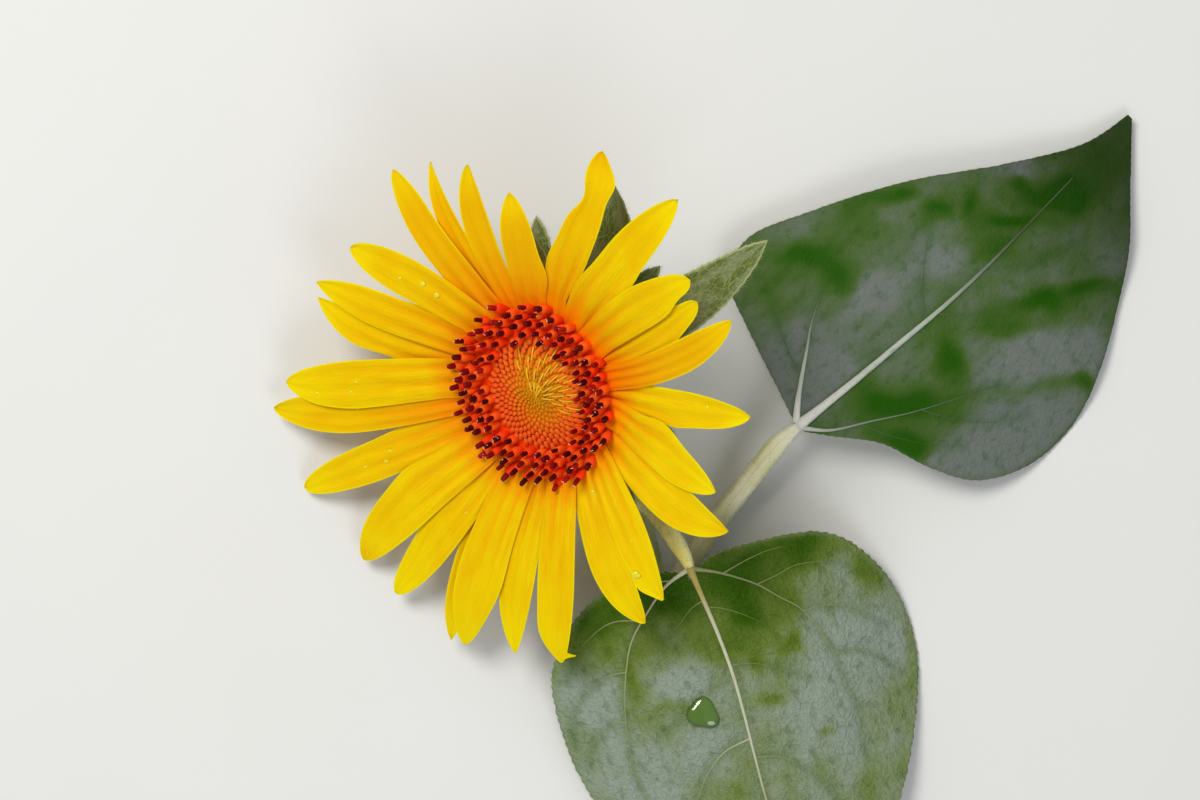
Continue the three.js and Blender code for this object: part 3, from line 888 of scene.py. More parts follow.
@dataclass
class Petals:
    """The golden rays, each a thin pleated blade in its tier."""

    place: Place
    root_radius: float = 21.3
    tuck: float = 2.8
    span: float = 45.0
    tier_pitch: float = 1.0
    rise: float = 7.0
    rise_varies: float = 1.5
    rise_towards: float = 40.0
    arch: float = 2.4
    root_width: float = 0.78
    widest: float = 0.55
    swell_power: float = 1.5
    tip_width: float = 0.25
    channel: float = 0.25
    thickness: float = 0.32
    edge_thins: float = 0.7
    pleat_height: float = 0.4
    rib_height: float = 0.06
    wave_height: float = 0.2
    rows: int = 84
    columns: int = 29
    rows_crowd: float = 1.35
    columns_crowd: float = 0.94
    pattern_pitch: float = 40.0
    drop_shape: tuple = (1.0, 0.85, 0.5)
    drop_sides: int = 20
    rays: tuple[Petal, ...] = (
        Petal(118.5, 2, 1.1, 65.8, 9.0, 1, 0.85, 0.58, nicks=((-1, 0.6, 0.6, 0.2),)),
        Petal(111.6, 2.7, -0.2, 63.4, 5.7, -1, 0.85, 0.85),
        Petal(104.9, 0, -3.5, 60.2, 7.5, 0, 0.85, 0.66),
        Petal(91, -1, 0.3, 52.2, 9.3, 1, 0.85, 0.66, nicks=((-1, 0.3, -1.8, 0.16),)),
        Petal(
            75.2, -6.5, -6.6, 68.0, 9.5, 0, 0.45, 0.5, 0.7,
            ((1, 0.73, 2.5, 0.11), (-1, 0.86, -1.9, 0.08), (-1, 0.1, 1.6, 0.13), (1, 0.3, -1.2, 0.12)),
        ),
        Petal(
            57.6, -5, -7.9, 68.6, 10.2, 0, 0.15, 0.62, nicks=((-1, 0.42, -1.2, 0.12), (1, 0.2, -1.2, 0.14)),
        ),
        Petal(41, -3, -6, 57.4, 11.0, 1, 0.25, 0.52, nicks=((-1, 0.85, 1.0, 0.1), (1, 0.75, 0.5, 0.2))),
        Petal(26, 1, 3.6, 55.2, 9.4, 0, 0.45, 0.55, nicks=((-1, 0.8, 0.5, 0.12), (1, 0.85, 0.8, 0.1))),
        Petal(13.4, 3, 8.8, 61.8, 8.2, 1, 1.0, 0.62),
        Petal(2.5, -2.6, -3.2, 60.3, 8.8, 0, 0.05, 0.6, 0.0, ((-1, 0.45, -1.0, 0.12),), ((0.7, 0.3, 0.45),)),
        Petal(-12, -7, -9.6, 54.4, 10.0, 1, 0.0, 0.72, nicks=((1, 0.4, -2.2, 0.17),)),
        Petal(-28.6, -4.4, -1.2, 60.8, 11.5, 0, 0.1, 0.75, 0.5),
        Petal(
            -45, -7, -10.4, 60.2, 9.6, 1, 0.0, 0.78, 0.2, ((1, 0.45, -0.2, 0.14), (-1, 0.87, -1.5, 0.08)),
            ((0.775, -0.72, 1.3), (0.57, -0.1, 0.4)),
        ),
        Petal(-59.6, -5.4, -4.1, 63.2, 11.2, 0, 0.0, 0.68, 0.5, drops=((0.16, 0.2, 0.6), (0.13, 0.5, 0.45))),
        Petal(
            -76.6, -7.8, -9.8, 69.3, 10.3, 1, 0.1, 0.68, 0.3,
            ((1, 0.96, -3.1, 0.01), (-1, 0.84, -1.3, 0.12)),
        ),
        Petal(-92.5, -5.6, -5.1, 68.6, 9.6, 0, 0.05, 0.75),
        Petal(-108.1, -2, -1.6, 71.6, 12.0, 1, 0.1, 0.62, nicks=((1, 0.6, -0.9, 0.2),)),
        Petal(-117, 1, 3.8, 72.9, 8.6, -1, 0.25, 0.7, nicks=((-1, 0.6, 0.8, 0.25),)),
        Petal(
            -124.9, -1.7, -3.0, 69.8, 10.2, 0, 0.05, 0.52, 0.0, ((-1, 0.45, -1.3, 0.14),),
            ((0.35, 0.3, 0.5),),
        ),
        Petal(-138.3, -2, 0.4, 69.7, 12.6, 1, 0.1, 0.56, 0.6, ((-1, 0.42, -1.3, 0.14),)),
        Petal(
            -154.6, -2, -2.4, 73.3, 10.1, 0, 0.3, 0.5, 0.0, ((-1, 0.35, -0.9, 0.15),),
            ((0.5, 0.2, 0.7), (0.46, -0.2, 0.55), (0.62, 0.1, 0.5)),
        ),
        Petal(-173.2, 1, -1, 75.0, 10.4, 1, 0.6, 0.6, 0.0, ((-1, 0.85, -0.5, 0.1),), ((0.52, -0.2, 0.5),)),
        Petal(
            172.4, 6, 7.5, 69.4, 12.6, 2, 0.1, 0.6,
            drops=((0.6, 0.3, 0.55), (0.56, -0.1, 0.45), (0.8, 0.4, 0.4)),
        ),
        Petal(161, 2, -2.3, 62.7, 10.0, 0, 0.4, 0.78, nicks=((1, 0.5, 1.2, 0.16),)),
        Petal(149.6, 3.2, 5.2, 63.8, 9.4, 1, 0.4, 0.72, nicks=((-1, 0.25, -1.1, 0.2),)),
        Petal(
            129.8, 5.9, 12.0, 59.3, 10.7, 2, 0.3, 0.54,
            drops=((0.47, -0.1, 0.95), (0.36, -0.05, 0.9), (0.62, 0.2, 0.5)),
        ),
    )

    def sheet(self, radius: Array, bearing: Array, tier: int) -> Array:
        """Give the height of a tier of rays.

        Args:
            radius: Distances from the middle of the disc.
            bearing: The ray's bearing there.
            tier: The ray's layer.

        Returns:
            Heights along the disc's axis.
        """
        part = np.maximum(radius - self.root_radius, 0) / self.span
        rise = self.rise + self.rise_varies * np.cos(np.radians(bearing - self.rise_towards))
        spread = 0.7 + 0.3 * smooth(0, 0.2, part)
        return tier * self.tier_pitch * spread + rise * part + self.arch * 4 * part * (1 - part)

    def bearing_at(self, ray: Petal, along: Array) -> Array:
        """Give a ray's bearing at shares of its length."""
        bow = ray.middle_swing * 4 * along * (1 - along)
        return ray.bearing + bow + ray.tip_swing * along * (2 * along - 1)

    def spine(self, ray: Petal, along: Array) -> Array:
        """Give the middle line of a ray, in the plane of the disc.

        Args:
            ray: The ray.
            along: Shares of its length.

        Returns:
            The line's points.
        """
        start = self.root_radius - self.tuck
        radius = self.root_radius + (ray.reach - self.root_radius) * along
        radius = np.where(along < 0.1, start + (radius - start) * along / 0.1, radius)
        return polar(radius, self.bearing_at(ray, along))

    def half_width(self, ray: Petal, along: Array, side: Array) -> Array:
        """Give the distance from a ray's middle line to its edge.

        Args:
            ray: The ray.
            along: Shares of its length.
            side: 1 on the left of the middle line and -1 on the right.

        Returns:
            Half widths in millimetres.
        """
        opening = np.maximum(0, 1 - along / self.widest)
        closing = np.clip((along - self.widest) / (1 - self.widest), 0, 1)
        swell = 1 - (1 - self.root_width) * opening**self.swell_power
        taper = (1 - closing**2) ** ray.point
        half = 0.5 * np.maximum(self.tip_width, ray.width * swell * taper)
        for edge, at, depth, spread in ray.nicks:
            near = depth * np.exp(-(((along - at) / spread) ** 2))
            half = np.maximum(half - np.where(side * edge > 0, near, 0), self.tip_width / 2)
        return half

    def relief(self, along: Array, side: Array, draw: Draw) -> tuple[Array, Array]:
        """Give a ray's pleats, ribs and waves.

        Args:
            along: Shares of the ray's length.
            side: Shares of its half width, from -1 to 1.
            draw: The source of chance.

        Returns:
            Heights over the plain blade, and how deep in the folds each point lies, from 0 to 1, which sets
            the painted shade there.
        """
        shift, lean, swing = draw.uniform(-0.5, 0.5, 3)
        folds = draw.choice([2.0, 2.5, 3.0])
        wander = side + 0.12 * lean * np.sin(5 * along + 6 * shift)
        pleat = np.cos(math.pi * folds * wander + 2.4 * shift)
        strength = (0.16 + 0.84 * (1 - along) ** 1.3) * (1 - side**4)
        ribs = np.cos(math.pi * 10 * side + 3 * lean)
        wave = np.sin(2 * math.pi * (1.1 * along + shift) + 1.5 * side * swing)
        curl = (0.15 + 0.5 * swing) * np.abs(side) ** 3 * smooth(0.25, 0.8, along)
        nod = draw.uniform(-0.9, 0.5) * smooth(0.72, 1.0, along) ** 2
        height = self.pleat_height * pleat * strength + self.rib_height * ribs * strength
        return height + self.wave_height * wave * along + curl + nod, np.clip(-pleat, 0, 1) ** 2 * strength

    def surface(self, ray: Petal, along: Array, side: Array, draw: Draw) -> tuple[Array, dict]:
        """Work out a ray's middle surface.

        Args:
            ray: The ray.
            along: Shares of its length, one to a row.
            side: Shares of its half width, one to a column.
            draw: The source of chance.

        Returns:
            The surface's points, and named values at them.
        """
        rows, columns = along[:, None], side[None, :]
        spine = self.spine(ray, along)
        step = 0.01
        beyond, before = np.minimum(1, along + step), np.maximum(0, along - step)
        ahead = unit(self.spine(ray, beyond) - self.spine(ray, before))
        left = np.stack([-ahead[:, 1], ahead[:, 0], np.zeros(len(along))], axis=-1)
        half = self.half_width(ray, rows, columns) + 0 * columns
        points = spine[:, None] + left[:, None] * (columns * half)[..., None]
        radius = np.linalg.norm(points[..., :2], axis=-1)
        height, crease_shade = self.relief(rows, columns, draw)
        trough = self.channel * rows * (columns**2 - 0.5)
        points[..., 2] = self.sheet(radius, self.bearing_at(ray, along)[:, None], ray.tier) + trough + height
        rim = (1 - np.abs(columns)) * half
        # The ray's own orange and its painted shade, eased towards the tip; burn adds orange at the tip.
        orange_and_shade = ray.orange_and_shade * (1 - 0.5 * smooth(0.6, 0.95, rows)) + ray.burn * smooth(0.82, 0.97, rows)
        return points, {"along": rows, "rim": rim, "crease_shade": crease_shade, "orange_and_shade": orange_and_shade}

    def build(self) -> None:
        """Build the rays, one piece for each."""
        gold = PetalFinish().make()
        dew = Shape()
        along = 1 - (1 - np.linspace(0, 1, self.rows)) ** self.rows_crowd
        crowd = math.pi / 2 * self.columns_crowd
        side = np.sin(np.linspace(-1, 1, self.columns) * crowd) / math.sin(crowd)
        for number, ray in enumerate(self.rays, start=1):
            draw = np.random.default_rng(SEED + number)
            points, values = self.surface(ray, along, side, draw)
            thin = self.thickness * (1 - self.edge_thins * np.abs(side) ** 8)
            flat = laid_flat(side * ray.width / 2 + self.pattern_pitch * number, along * ray.reach)
            shape = Shape()
            shape.add_blade(points, thin, flat, **values)
            name = f"petal_{number:02d}"
            shape.build(name, [gold], self.place, Slot.RAY, (f"ray_{number:02d}",))
            for at, across, radius in ray.drops:
                spot = points[np.abs(along - at).argmin(), np.abs(side - across).argmin()]
                size = radius * np.array(self.drop_shape)
                dew.add_drop(size, np.append(spot + UP * thin[0] / 2, 0), self.drop_sides)
        water = DropFinish("petal_water", tone(226, 206, 0), tone(252, 250, 30), 0.62)
        dew.build("petal_dew", [water.make()], self.place, None)


@dataclass
class Disc:
    """The disc: a ring of ripe florets round a middle of closed buds.

    Attributes:
        stretch: How much longer the disc is along its long axis, as a share.
        zone_stretch: The same for its zone of buds.
        long_axis: The bearing of its long axis.
        splay: How far the outermost florets lean outward, in degrees.
        bulges: Bearings at which they lean more, and by how many degrees.
        sway: How far all the florets lean one way besides, in degrees.
    """

    place: Place
    bud_zone_radius: float = 11.7
    radius: float = 20.6
    underside: float = -1.6
    ring_top: float = 1.2
    stretch: float = 0.1
    zone_stretch: float = 0.16
    long_axis: float = 108.0
    floret_count: int = 122
    inner_lean: float = -3.0
    splay: float = 17.0
    bulges: tuple = ((140.0, 8.0), (236.0, 14.0), (276.0, 14.0))
    sway: float = 14.0
    sway_towards: float = 192.0
    bud_count: int = 330
    bud_spread: float = 0.72
    bud_top: float = 2.5
    bud_dome: float = 0.5
    bud_curl: float = 82.0
    strand_step: int = 4
    strand_towards: float = 50.0
    strand_girth: float = 0.22
    bud_sides: int = 8
    bud_bands: int = 5
    bed_sides: int = 96
    bed_stretch: float = 0.25
    floret_sides: int = 10
    curled_share: float = 0.35
    pollen_grains: int = 90

    def drawn_out(self, radius: Array, bearing: Array) -> Array:
        """Stretch distances from the middle along the disc's long axis."""
        stretch = np.interp(radius, [self.bud_zone_radius, self.radius], [self.zone_stretch, self.stretch])
        return radius * (1 + stretch * np.cos(np.radians(bearing - self.long_axis)) ** 2)

    def standing(self, bearing: Array, lean: Array, size: Array, twist: Array) -> Array:
        """Make the turning matrices of parts that stand on the disc.

        Args:
            bearing: Their bearings in degrees.
            lean: How far each leans outward, in degrees.
            size: How large each is, as three scales.
            twist: How far each is turned about its own axis, in degrees.

        Returns:
            One matrix for each part.
        """
        a = np.radians(lean)
        sway = polar(math.sin(math.radians(self.sway)), self.sway_towards)
        axis = unit(polar(np.sin(a), bearing, np.cos(a)) + sway)
        outward = polar(1.0, bearing)
        outward = unit(outward - axis * (outward * axis).sum(axis=-1, keepdims=True))
        around = np.cross(axis, outward)
        cos, sin = np.cos(np.radians(twist))[:, None], np.sin(np.radians(twist))[:, None]
        sides = [outward * cos + around * sin, around * cos - outward * sin, axis]
        return np.stack(sides, axis=-1) * size[:, None, :]

    def build_bed(self) -> None:
        """Build the solid bed that the florets and buds stand on."""
        zone, sides = self.bud_zone_radius, self.bed_sides
        profile = [
            (0.5, self.underside), (self.radius - 0.6, self.underside),
            (self.radius - 0.2, self.underside + 0.3),
            (19.6, -0.5), (19.0, 0.4), (18.0, self.ring_top), (zone + 1.6, self.ring_top),
            (zone + 0.4, 1.4), (zone * 0.86, 1.75), (zone * 0.6, 2.1), (zone * 0.3, 2.4), (0.5, 2.6),
        ]
        rings = lathe(profile, sides)
        aside = np.cos(np.radians(ring_bearings(sides) - self.long_axis))[:, None]
        rings[..., :2] *= 1 + self.bed_stretch * self.stretch * aside**2
        shape = Shape()
        shape.add_rings(rings, bands=(0,) * 6 + (1,) * 2 + (2,) * 5)
        finishes = [
            GrainFinish("bed_red", tone(255, 72, 10), 0.9, gloss=0.05).make(),
            GrainFinish("bed_orange", tone(240, 96, 6), 0.8, gloss=0.05).make(),
            GrainFinish("bed_mustard", tone(224, 148, 8), 0.85, gloss=0.05).make(),
        ]
        shape.build("disc_bed", finishes, self.place, Slot.FLORET, ("disc_florets", "disc_buds"), 50)

    def build_florets(self) -> None:
        """Build the ring of ripe florets: red tubes, dark anther heads and bright tips that partly paint
        glints.
        """
        draw = np.random.default_rng(SEED)
        count = self.floret_count
        number = np.arange(count)
        inner, outer = self.bud_zone_radius + 0.9, self.radius - 0.4
        part = (number + 0.5) / count
        radius = np.sqrt(inner**2 + (outer**2 - inner**2) * part) + draw.normal(0, 0.25, count)
        bearing = number * GOLDEN_ANGLE + draw.normal(0, 1.2, count)
        ripe = np.clip((radius - inner) / (outer - inner), 0, 1)
        edge = self.splay
        for towards, more in self.bulges:
            edge = edge + more * np.clip(np.cos(np.radians(bearing - towards)), 0, 1) ** 6
        lean = self.inner_lean + (edge - self.inner_lean) * ripe**1.2 + draw.normal(0, 4.5, count)
        height = 0.94 + 0.12 * ripe + draw.normal(0, 0.06, count)
        girth = 0.94 + 0.1 * ripe + draw.normal(0, 0.08, count)
        size = np.stack([girth, girth, height], axis=-1)
        turns = self.standing(bearing, lean, size, draw.uniform(0, 72, count))
        feet = polar(self.drawn_out(radius, bearing), bearing, self.ring_top - 0.5 * smooth(0.6, 1.0, ripe))
        self.build_tubes(turns, feet, draw)
        self.build_heads(turns, feet, draw)
        self.build_tips(turns, feet, draw)

    def build_tubes(self, turns: Array, feet: Array, draw: Draw) -> None:
        """Build the red tubes that the anther heads stand out of.

        Args:
            turns: The florets' turning matrices.
            feet: Where they stand.
            draw: The source of chance.
        """
        profile = [(0.75, -1.2), (0.98, 0.4), (1.16, 1.4), (1.26, 2.0), (1.16, 2.6)]
        rings = lathe(profile, self.floret_sides)
        bearing = ring_bearings(self.floret_sides)
        lobe = np.cos(np.radians(bearing * 5))
        mouth = polar(0.95 + 0.12 * lobe, bearing, 3.1 + 0.1 * lobe)
        throat = polar(0.6, bearing, 3.15)
        rings = np.concatenate([rings, mouth[None], throat[None]])
        shape = Shape()
        shape.add_copies(rings, turns, feet, draw.integers(0, 3, len(feet)))
        tints = [(255, 80, 20), (255, 96, 24), (255, 66, 18)]
        finishes = [
            GrainFinish(f"tube_{k}", tone(*tint), 0.95, 0.6, 0.3, 0.04).make() for k, tint in enumerate(tints)
        ]
        shape.build("floret_tubes", finishes, self.place, Slot.FLORET, ("disc_florets",))

    def build_heads(self, turns: Array, feet: Array, draw: Draw) -> None:
        """Build the dark fluted anther heads.

        Args:
            turns: The florets' turning matrices.
            feet: Where they stand.
            draw: The source of chance.
        """
        profile = [(0.56, 2.6), (0.64, 3.1), (0.66, 3.9), (0.63, 4.7), (0.54, 5.1), (0.34, 5.3), (0.12, 5.36)]
        rings = lathe(profile, self.floret_sides, 5, 0.1)
        shape = Shape()
        shape.add_copies(rings, turns, feet, draw.choice(4, len(feet), p=[0.38, 0.28, 0.22, 0.12]))
        tints = [(106, 2, 12), (140, 8, 16), (76, 1, 12), (184, 26, 20)]
        finishes = [
            GrainFinish(f"head_{k}", tone(*tint), 0.6, 0.5, gloss=0.12).make() for k, tint in enumerate(tints)
        ]
        shape.build("floret_heads", finishes, self.place, Slot.FLORET, ("disc_florets",))

    def build_tips(self, turns: Array, feet: Array, draw: Draw) -> None:
        """Build the small bright curls and pollen grains at some of the heads' tops, whose cream and pink
        colour partly paints glints there.

        Args:
            turns: The florets' turning matrices.
            feet: Where they stand.
            draw: The source of chance.
        """
        shape = Shape()
        angle = np.linspace(0, 1.9, 6)
        curl = np.stack([0.36 * (1 - np.cos(angle)), np.zeros(6), 0.36 * np.sin(angle) + 5.2], axis=-1)
        rings = tube(curl, np.linspace(0.14, 0.07, 6), 6, np.array([0.0, 1.0, 0.0]))
        chosen = draw.random(len(feet)) < self.curled_share
        for half in (1, -1):
            flip = turns[chosen] @ np.diag([half, half, 1])
            shape.add_copies(rings, flip, feet[chosen], draw.integers(0, 2, chosen.sum()))
        count = self.pollen_grains
        grains = draw.integers(0, len(feet), count)
        grain = lathe([(0.1, -0.18), (0.2, 0.0), (0.1, 0.18)], 6)
        spots = polar(np.full(count, 0.72), draw.uniform(0, 360, count), draw.uniform(2.6, 5.0, count))
        where = np.einsum("nij,nj->ni", turns[grains], spots) + feet[grains]
        shape.add_copies(grain, np.tile(np.eye(3), (count, 1, 1)), where, draw.integers(0, 2, count))
        # Cream and pink: partly the curls' and grains' own colour, partly painted glints at the heads' tops.
        finishes = [
            GrainFinish("tip_yellow_and_glint", tone(255, 200, 110), 0.9).make(),
            GrainFinish("tip_pink_and_glint", tone(248, 140, 120), 0.9).make(),
        ]
        shape.build("floret_tips", finishes, self.place, Slot.FLORET)

    def bud_rings(self, bend: float, girth: float, length: float, twist: float) -> Array:
        """Shape one bud, like a finger that curls towards -X.

        Args:
            bend: How far its tip has turned from its foot, in degrees.
            girth: Its radius.
            length: Its length.
            twist: How far its flutes are turned, in degrees.

        Returns:
            The bud's rings, with its tip at the origin.
        """
        share = np.array([0, 0.2, 0.4, 0.58, 0.74, 0.86, 0.94, 0.985, 1.0])
        wide = np.array([0.7, 0.78, 0.88, 0.96, 1.0, 0.97, 0.8, 0.48, 0.14])
        fine = np.linspace(0, 1, 60)
        angle = np.radians(bend) * fine**1.3
        steps = np.stack([-np.sin(angle), np.zeros(60), np.cos(angle)], axis=-1) * length / 60
        path = np.cumsum(steps, axis=0)
        path = path - path[-1]
        line = np.stack([np.interp(share, fine, path[:, k]) for k in range(3)], axis=-1)
        around = np.radians(ring_bearings(self.bud_sides))
        flutes = 1 + 0.1 * np.cos(5 * around + np.radians(twist))
        return tube(line, wide * girth, self.bud_sides, np.array([1.0, 0.0, 0.0]), flutes[None, :])

    def build_buds(self) -> None:
        """Build the closed buds, whose tips curl in towards the middle."""
        draw = np.random.default_rng(BUD_SEED)
        count, sides = self.bud_count, self.bud_sides
        part = ((np.arange(count) + 0.5) / count) ** self.bud_spread
        bearing = np.arange(count) * GOLDEN_ANGLE
        radius = self.drawn_out(0.3 + (self.bud_zone_radius - 0.4) * part, bearing)
        top = self.bud_top + self.bud_dome * (1 - part) + draw.normal(0, 0.06, count)
        tips = polar(radius, bearing, top) + polar(0.9, -80.0) * (1 - part[:, None])
        shape = Shape()
        for k in range(count):
            bend = self.bud_curl * (0.45 + 0.55 * part[k] ** 0.5)
            girth, length = 0.3 + 0.4 * part[k] ** 0.8, 3.0 + 1.6 * part[k]
            facing = math.cos(math.radians(bearing[k] - self.strand_towards))
            if k % self.strand_step == 0 and facing > 0.2 and 0.12 < part[k] < 0.97:
                bend, girth, length = 86.0, self.strand_girth, 6.2 + 2.6 * part[k]
                tips[k] += polar(-2.2, bearing[k], 0.5)
            rings = self.bud_rings(bend, girth, length, draw.uniform(0, 72))
            body, faces = closed_rings(rings @ turned(math.radians(bearing[k])).T + tips[k])
            rows = len(rings) - 1
            marks = np.zeros((rows, sides), int)
            # Painted highlight: the columns along each bud's back take the paler colour; the darker side
            # colour paints the shade on its flanks.
            marks[:, [0, 1, sides - 1, sides - 2]] = 1
            marks[rows - 4:] = 2
            marks = np.concatenate([marks.ravel(), np.zeros(sides, int), np.full(sides, 2)])
            away = math.cos(math.radians(bearing[k] - 225))
            band = int(np.clip(part[k] * (4.9 + 0.7 * away) + 0.3 * away + draw.uniform(-0.4, 0.4), 0, 4))
            shape.add(body, faces, marks + 3 * (self.bud_bands if girth == self.strand_girth else band))
        tints = (
            ((188, 124, 0), (210, 160, 6), (204, 144, 4)), ((200, 116, 0), (226, 160, 12), (222, 132, 8)),
            ((218, 104, 0), (246, 154, 20), (242, 124, 16)), ((218, 78, 4), (248, 128, 26), (244, 108, 22)),
            ((220, 62, 6), (246, 110, 30), (242, 94, 24)), ((216, 140, 4), (250, 204, 50), (246, 184, 36)),
        )
        # Each band: a darker side colour as painted shade, a paler colour for the bud's back as painted
        # highlight, and a tip colour.
        finishes = [
            GrainFinish(f"bud_{label}_{band}", tone(*tint), shade, 0.5, 0.15, 0.15).make()
            for band, row in enumerate(tints)
            for label, shade, tint in zip(("side", "ridge_highlight", "tip"), (0.7, 0.9, 0.9), row)
        ]
        shape.build("disc_bud_dome", finishes, self.place, Slot.BUD, ("disc_buds",))

    def build(self) -> None:
        """Build the disc's pieces."""
        self.build_bed()
        self.build_florets()
        self.build_buds()


@dataclass(frozen=True)
class Bract:
    """One bract, or the first of a ring of like ones.

    Attributes:
        bearing: Its bearing, in degrees.
        height: Its root's height along the bloom's axis.
        fall: How far it points down from the disc's plane, in degrees.
        length: Its length.
        width: Its width.
        swing: How far its tip swings sideways, in degrees.
    """

    bearing: float
    height: float
    fall: float
    length: float
    width: float
    swing: float = 0.0


@dataclass
class Calyx:
    """The green cup behind the disc and the bracts that close round it.

    Attributes:
        lean: How far the bloom's face leans, in degrees.
        lean_towards: The bearing that it leans towards.
        leafy: The long leafy bracts.
        whorls: Rings of like bracts: how many, the degrees from one to the next, and the first.
    """

    place: Place
    lean: float
    lean_towards: float
    clearance: float = 0.3
    cup_side: tuple = ((21.8, -1.9), (22.4, -2.5), (20.2, -4.9), (14.8, -9.3), (8.8, -12.7), (5.2, -14.5))
    thickness: float = 0.8
    tip_width: float = 0.3
    root_width: float = 0.72
    swell: float = 1.1
    taper_power: float = 0.8
    curve: float = 2.5
    length_varies: float = 0.12
    tooth: float = 0.3
    tooth_pitch: float = 2.6
    rows: int = 76
    columns: int = 15
    rows_crowd: float = 1.2
    blade_share: float = 0.7
    edge_thins: float = 0.6
    pattern_pitch: float = 30.0
    edge_hairs: int = 70
    face_hairs: int = 110
    hair_reach: tuple = (0.7, 1.5)
    cup_sides: int = 72
    cup_ribs: int = 21
    leafy: tuple = (Bract(58, -5.6, 2, 36.5, 19.5, 10), Bract(30, -3.9, 1, 52.5, 17, 3))
    whorls: tuple = (
        (7, 41, Bract(94, -3.9, 12, 15.5, 12)), (7, 50.5, Bract(47, -7.6, 22, 21, 11)),
        (5, 72, Bract(20, -11.0, 34, 20, 10)),
    )

    def cup_radius(self, height: float) -> float:
        """Give the cup's radius at a height on its side."""
        radius, level = np.array(self.cup_side).T
        return float(np.interp(-height, -level, radius))

    def ground(self, points: Array) -> Array:
        """Give the floor's height over the disc's plane, below or above points of that plane."""
        lean, downhill = math.radians(self.lean), points @ polar(1, self.lean_towards)
        return (downhill * math.sin(lean) - self.place.origin[2]) / math.cos(lean)

    def bracts(self) -> list[Bract]:
        """List every bract.

        Returns:
            The bracts, the leafy ones first.
        """
        made = list(self.leafy)
        for count, step, first in self.whorls:
            for k in range(count):
                bearing = first.bearing + step * k
                length = first.length * (1 + self.length_varies * math.sin(math.radians(bearing)))
                made.append(replace(first, bearing=bearing, length=length))
        return made

    def surface(self, bract: Bract, along: Array, side: Array, draw: Draw) -> tuple[Array, dict]:
        """Work out a bract's middle surface.

        Args:
            bract: The bract.
            along: Shares of its length, one to a row.
            side: Shares of its half width, one to a column.
            draw: The source of chance.

        Returns:
            The surface's points, and named values at them.
        """
        rows, columns = along[:, None], side[None, :]
        slope = math.tan(math.radians(bract.fall))
        root = self.cup_radius(bract.height + self.thickness) + self.clearance
        profile = (self.root_width + self.swell * rows) * (1 - rows) ** self.taper_power
        saw = (rows * bract.length / self.tooth_pitch) % 1
        saw = saw * smooth(0.25, 0.5, rows) * (1 - smooth(0.9, 1, rows))
        half = 0.5 * np.maximum(self.tip_width, bract.width * profile) + self.tooth * saw
        swung = bract.bearing + bract.swing * rows**2
        radius = root + bract.length * rows - 1.2 * (1 - smooth(0, 0.1, rows))
        points = polar(radius, swung) + polar(1, swung + 90) * (columns * half)[..., None]
        shift = draw.uniform(0, 6)
        fold = 0.9 * (columns**2 - 0.4) * rows * (1 - rows) * 2
        wave = 0.35 * np.abs(columns) * np.sin(9 * rows + shift + 1.5 * columns)
        rib = -0.25 * np.exp(-((columns / 0.12) ** 2)) * (1 - rows)
        free = bract.height - slope * bract.length * rows + self.curve * rows**2 + fold + wave + rib
        points[..., 2] = np.maximum(free, self.ground(points) + self.thickness)
        return points, {"along": rows, "rim": (1 - np.abs(columns)) * half}

    def build_cup(self) -> None:
        """Build the cup."""
        side = np.array(self.cup_side)[::-1]
        level = np.linspace(side[0, 1], side[-2, 1], 30)
        radius = np.interp(level, side[:-1, 1], side[:-1, 0])
        profile = [*zip(radius, level), tuple(side[-1])]
        shape = Shape()
        flat = laid_flat(ring_bearings(self.cup_sides) * 0.4, np.array(profile)[:, 1])
        shape.add_rings(lathe(profile, self.cup_sides, self.cup_ribs, 0.012), flat=flat)
        finish = StalkFinish("cup_green", tone(118, 138, 76), tone(84, 108, 48), tone(150, 160, 110)).make()
        shape.build("flower_cup", [finish], self.place, Slot.CUP, ("receptacle",), 50)

    def build(self) -> None:
        """Build the cup, the bracts and the hairs along the bracts' edges."""
        self.build_cup()
        green = BractFinish().make()
        hair = GrainFinish("bract_hair", tone(168, 176, 120), 0.85, 0.6).make()
        along = 1 - (1 - np.linspace(0, 1, self.rows)) ** self.rows_crowd
        side = np.linspace(-1, 1, self.columns)
        hairs = Shape()
        for number, bract in enumerate(self.bracts(), start=1):
            draw = np.random.default_rng(BRACT_SEED + number)
            points, values = self.surface(bract, along, side, draw)
            flat = laid_flat(side * bract.width / 2 + self.pattern_pitch * number, along * bract.length)
            shape = Shape()
            thin = self.thickness * self.blade_share * (1 - self.edge_thins * side**6)
            shape.add_blade(points, thin, flat, **values)
            name = f"bract_blade_{number:02d}"
            shape.build(name, [green], self.place, Slot.BRACT, (f"bract_{number:02d}",))
            hairs.add_fringe(points, self.edge_hairs, self.hair_reach, draw)
            hairs.add_down(points, self.face_hairs, UP / 2, 0.6, draw, 0)
        hairs.build("bract_hairs", [hair], self.place, Slot.BRACT)


@dataclass(frozen=True)
class Stalk:
    """The stalk of the leaf with the same label, its radius taken at the foot."""

    label: str
    knots: tuple
    radius: float
    bristles: int
    finish: StalkFinish


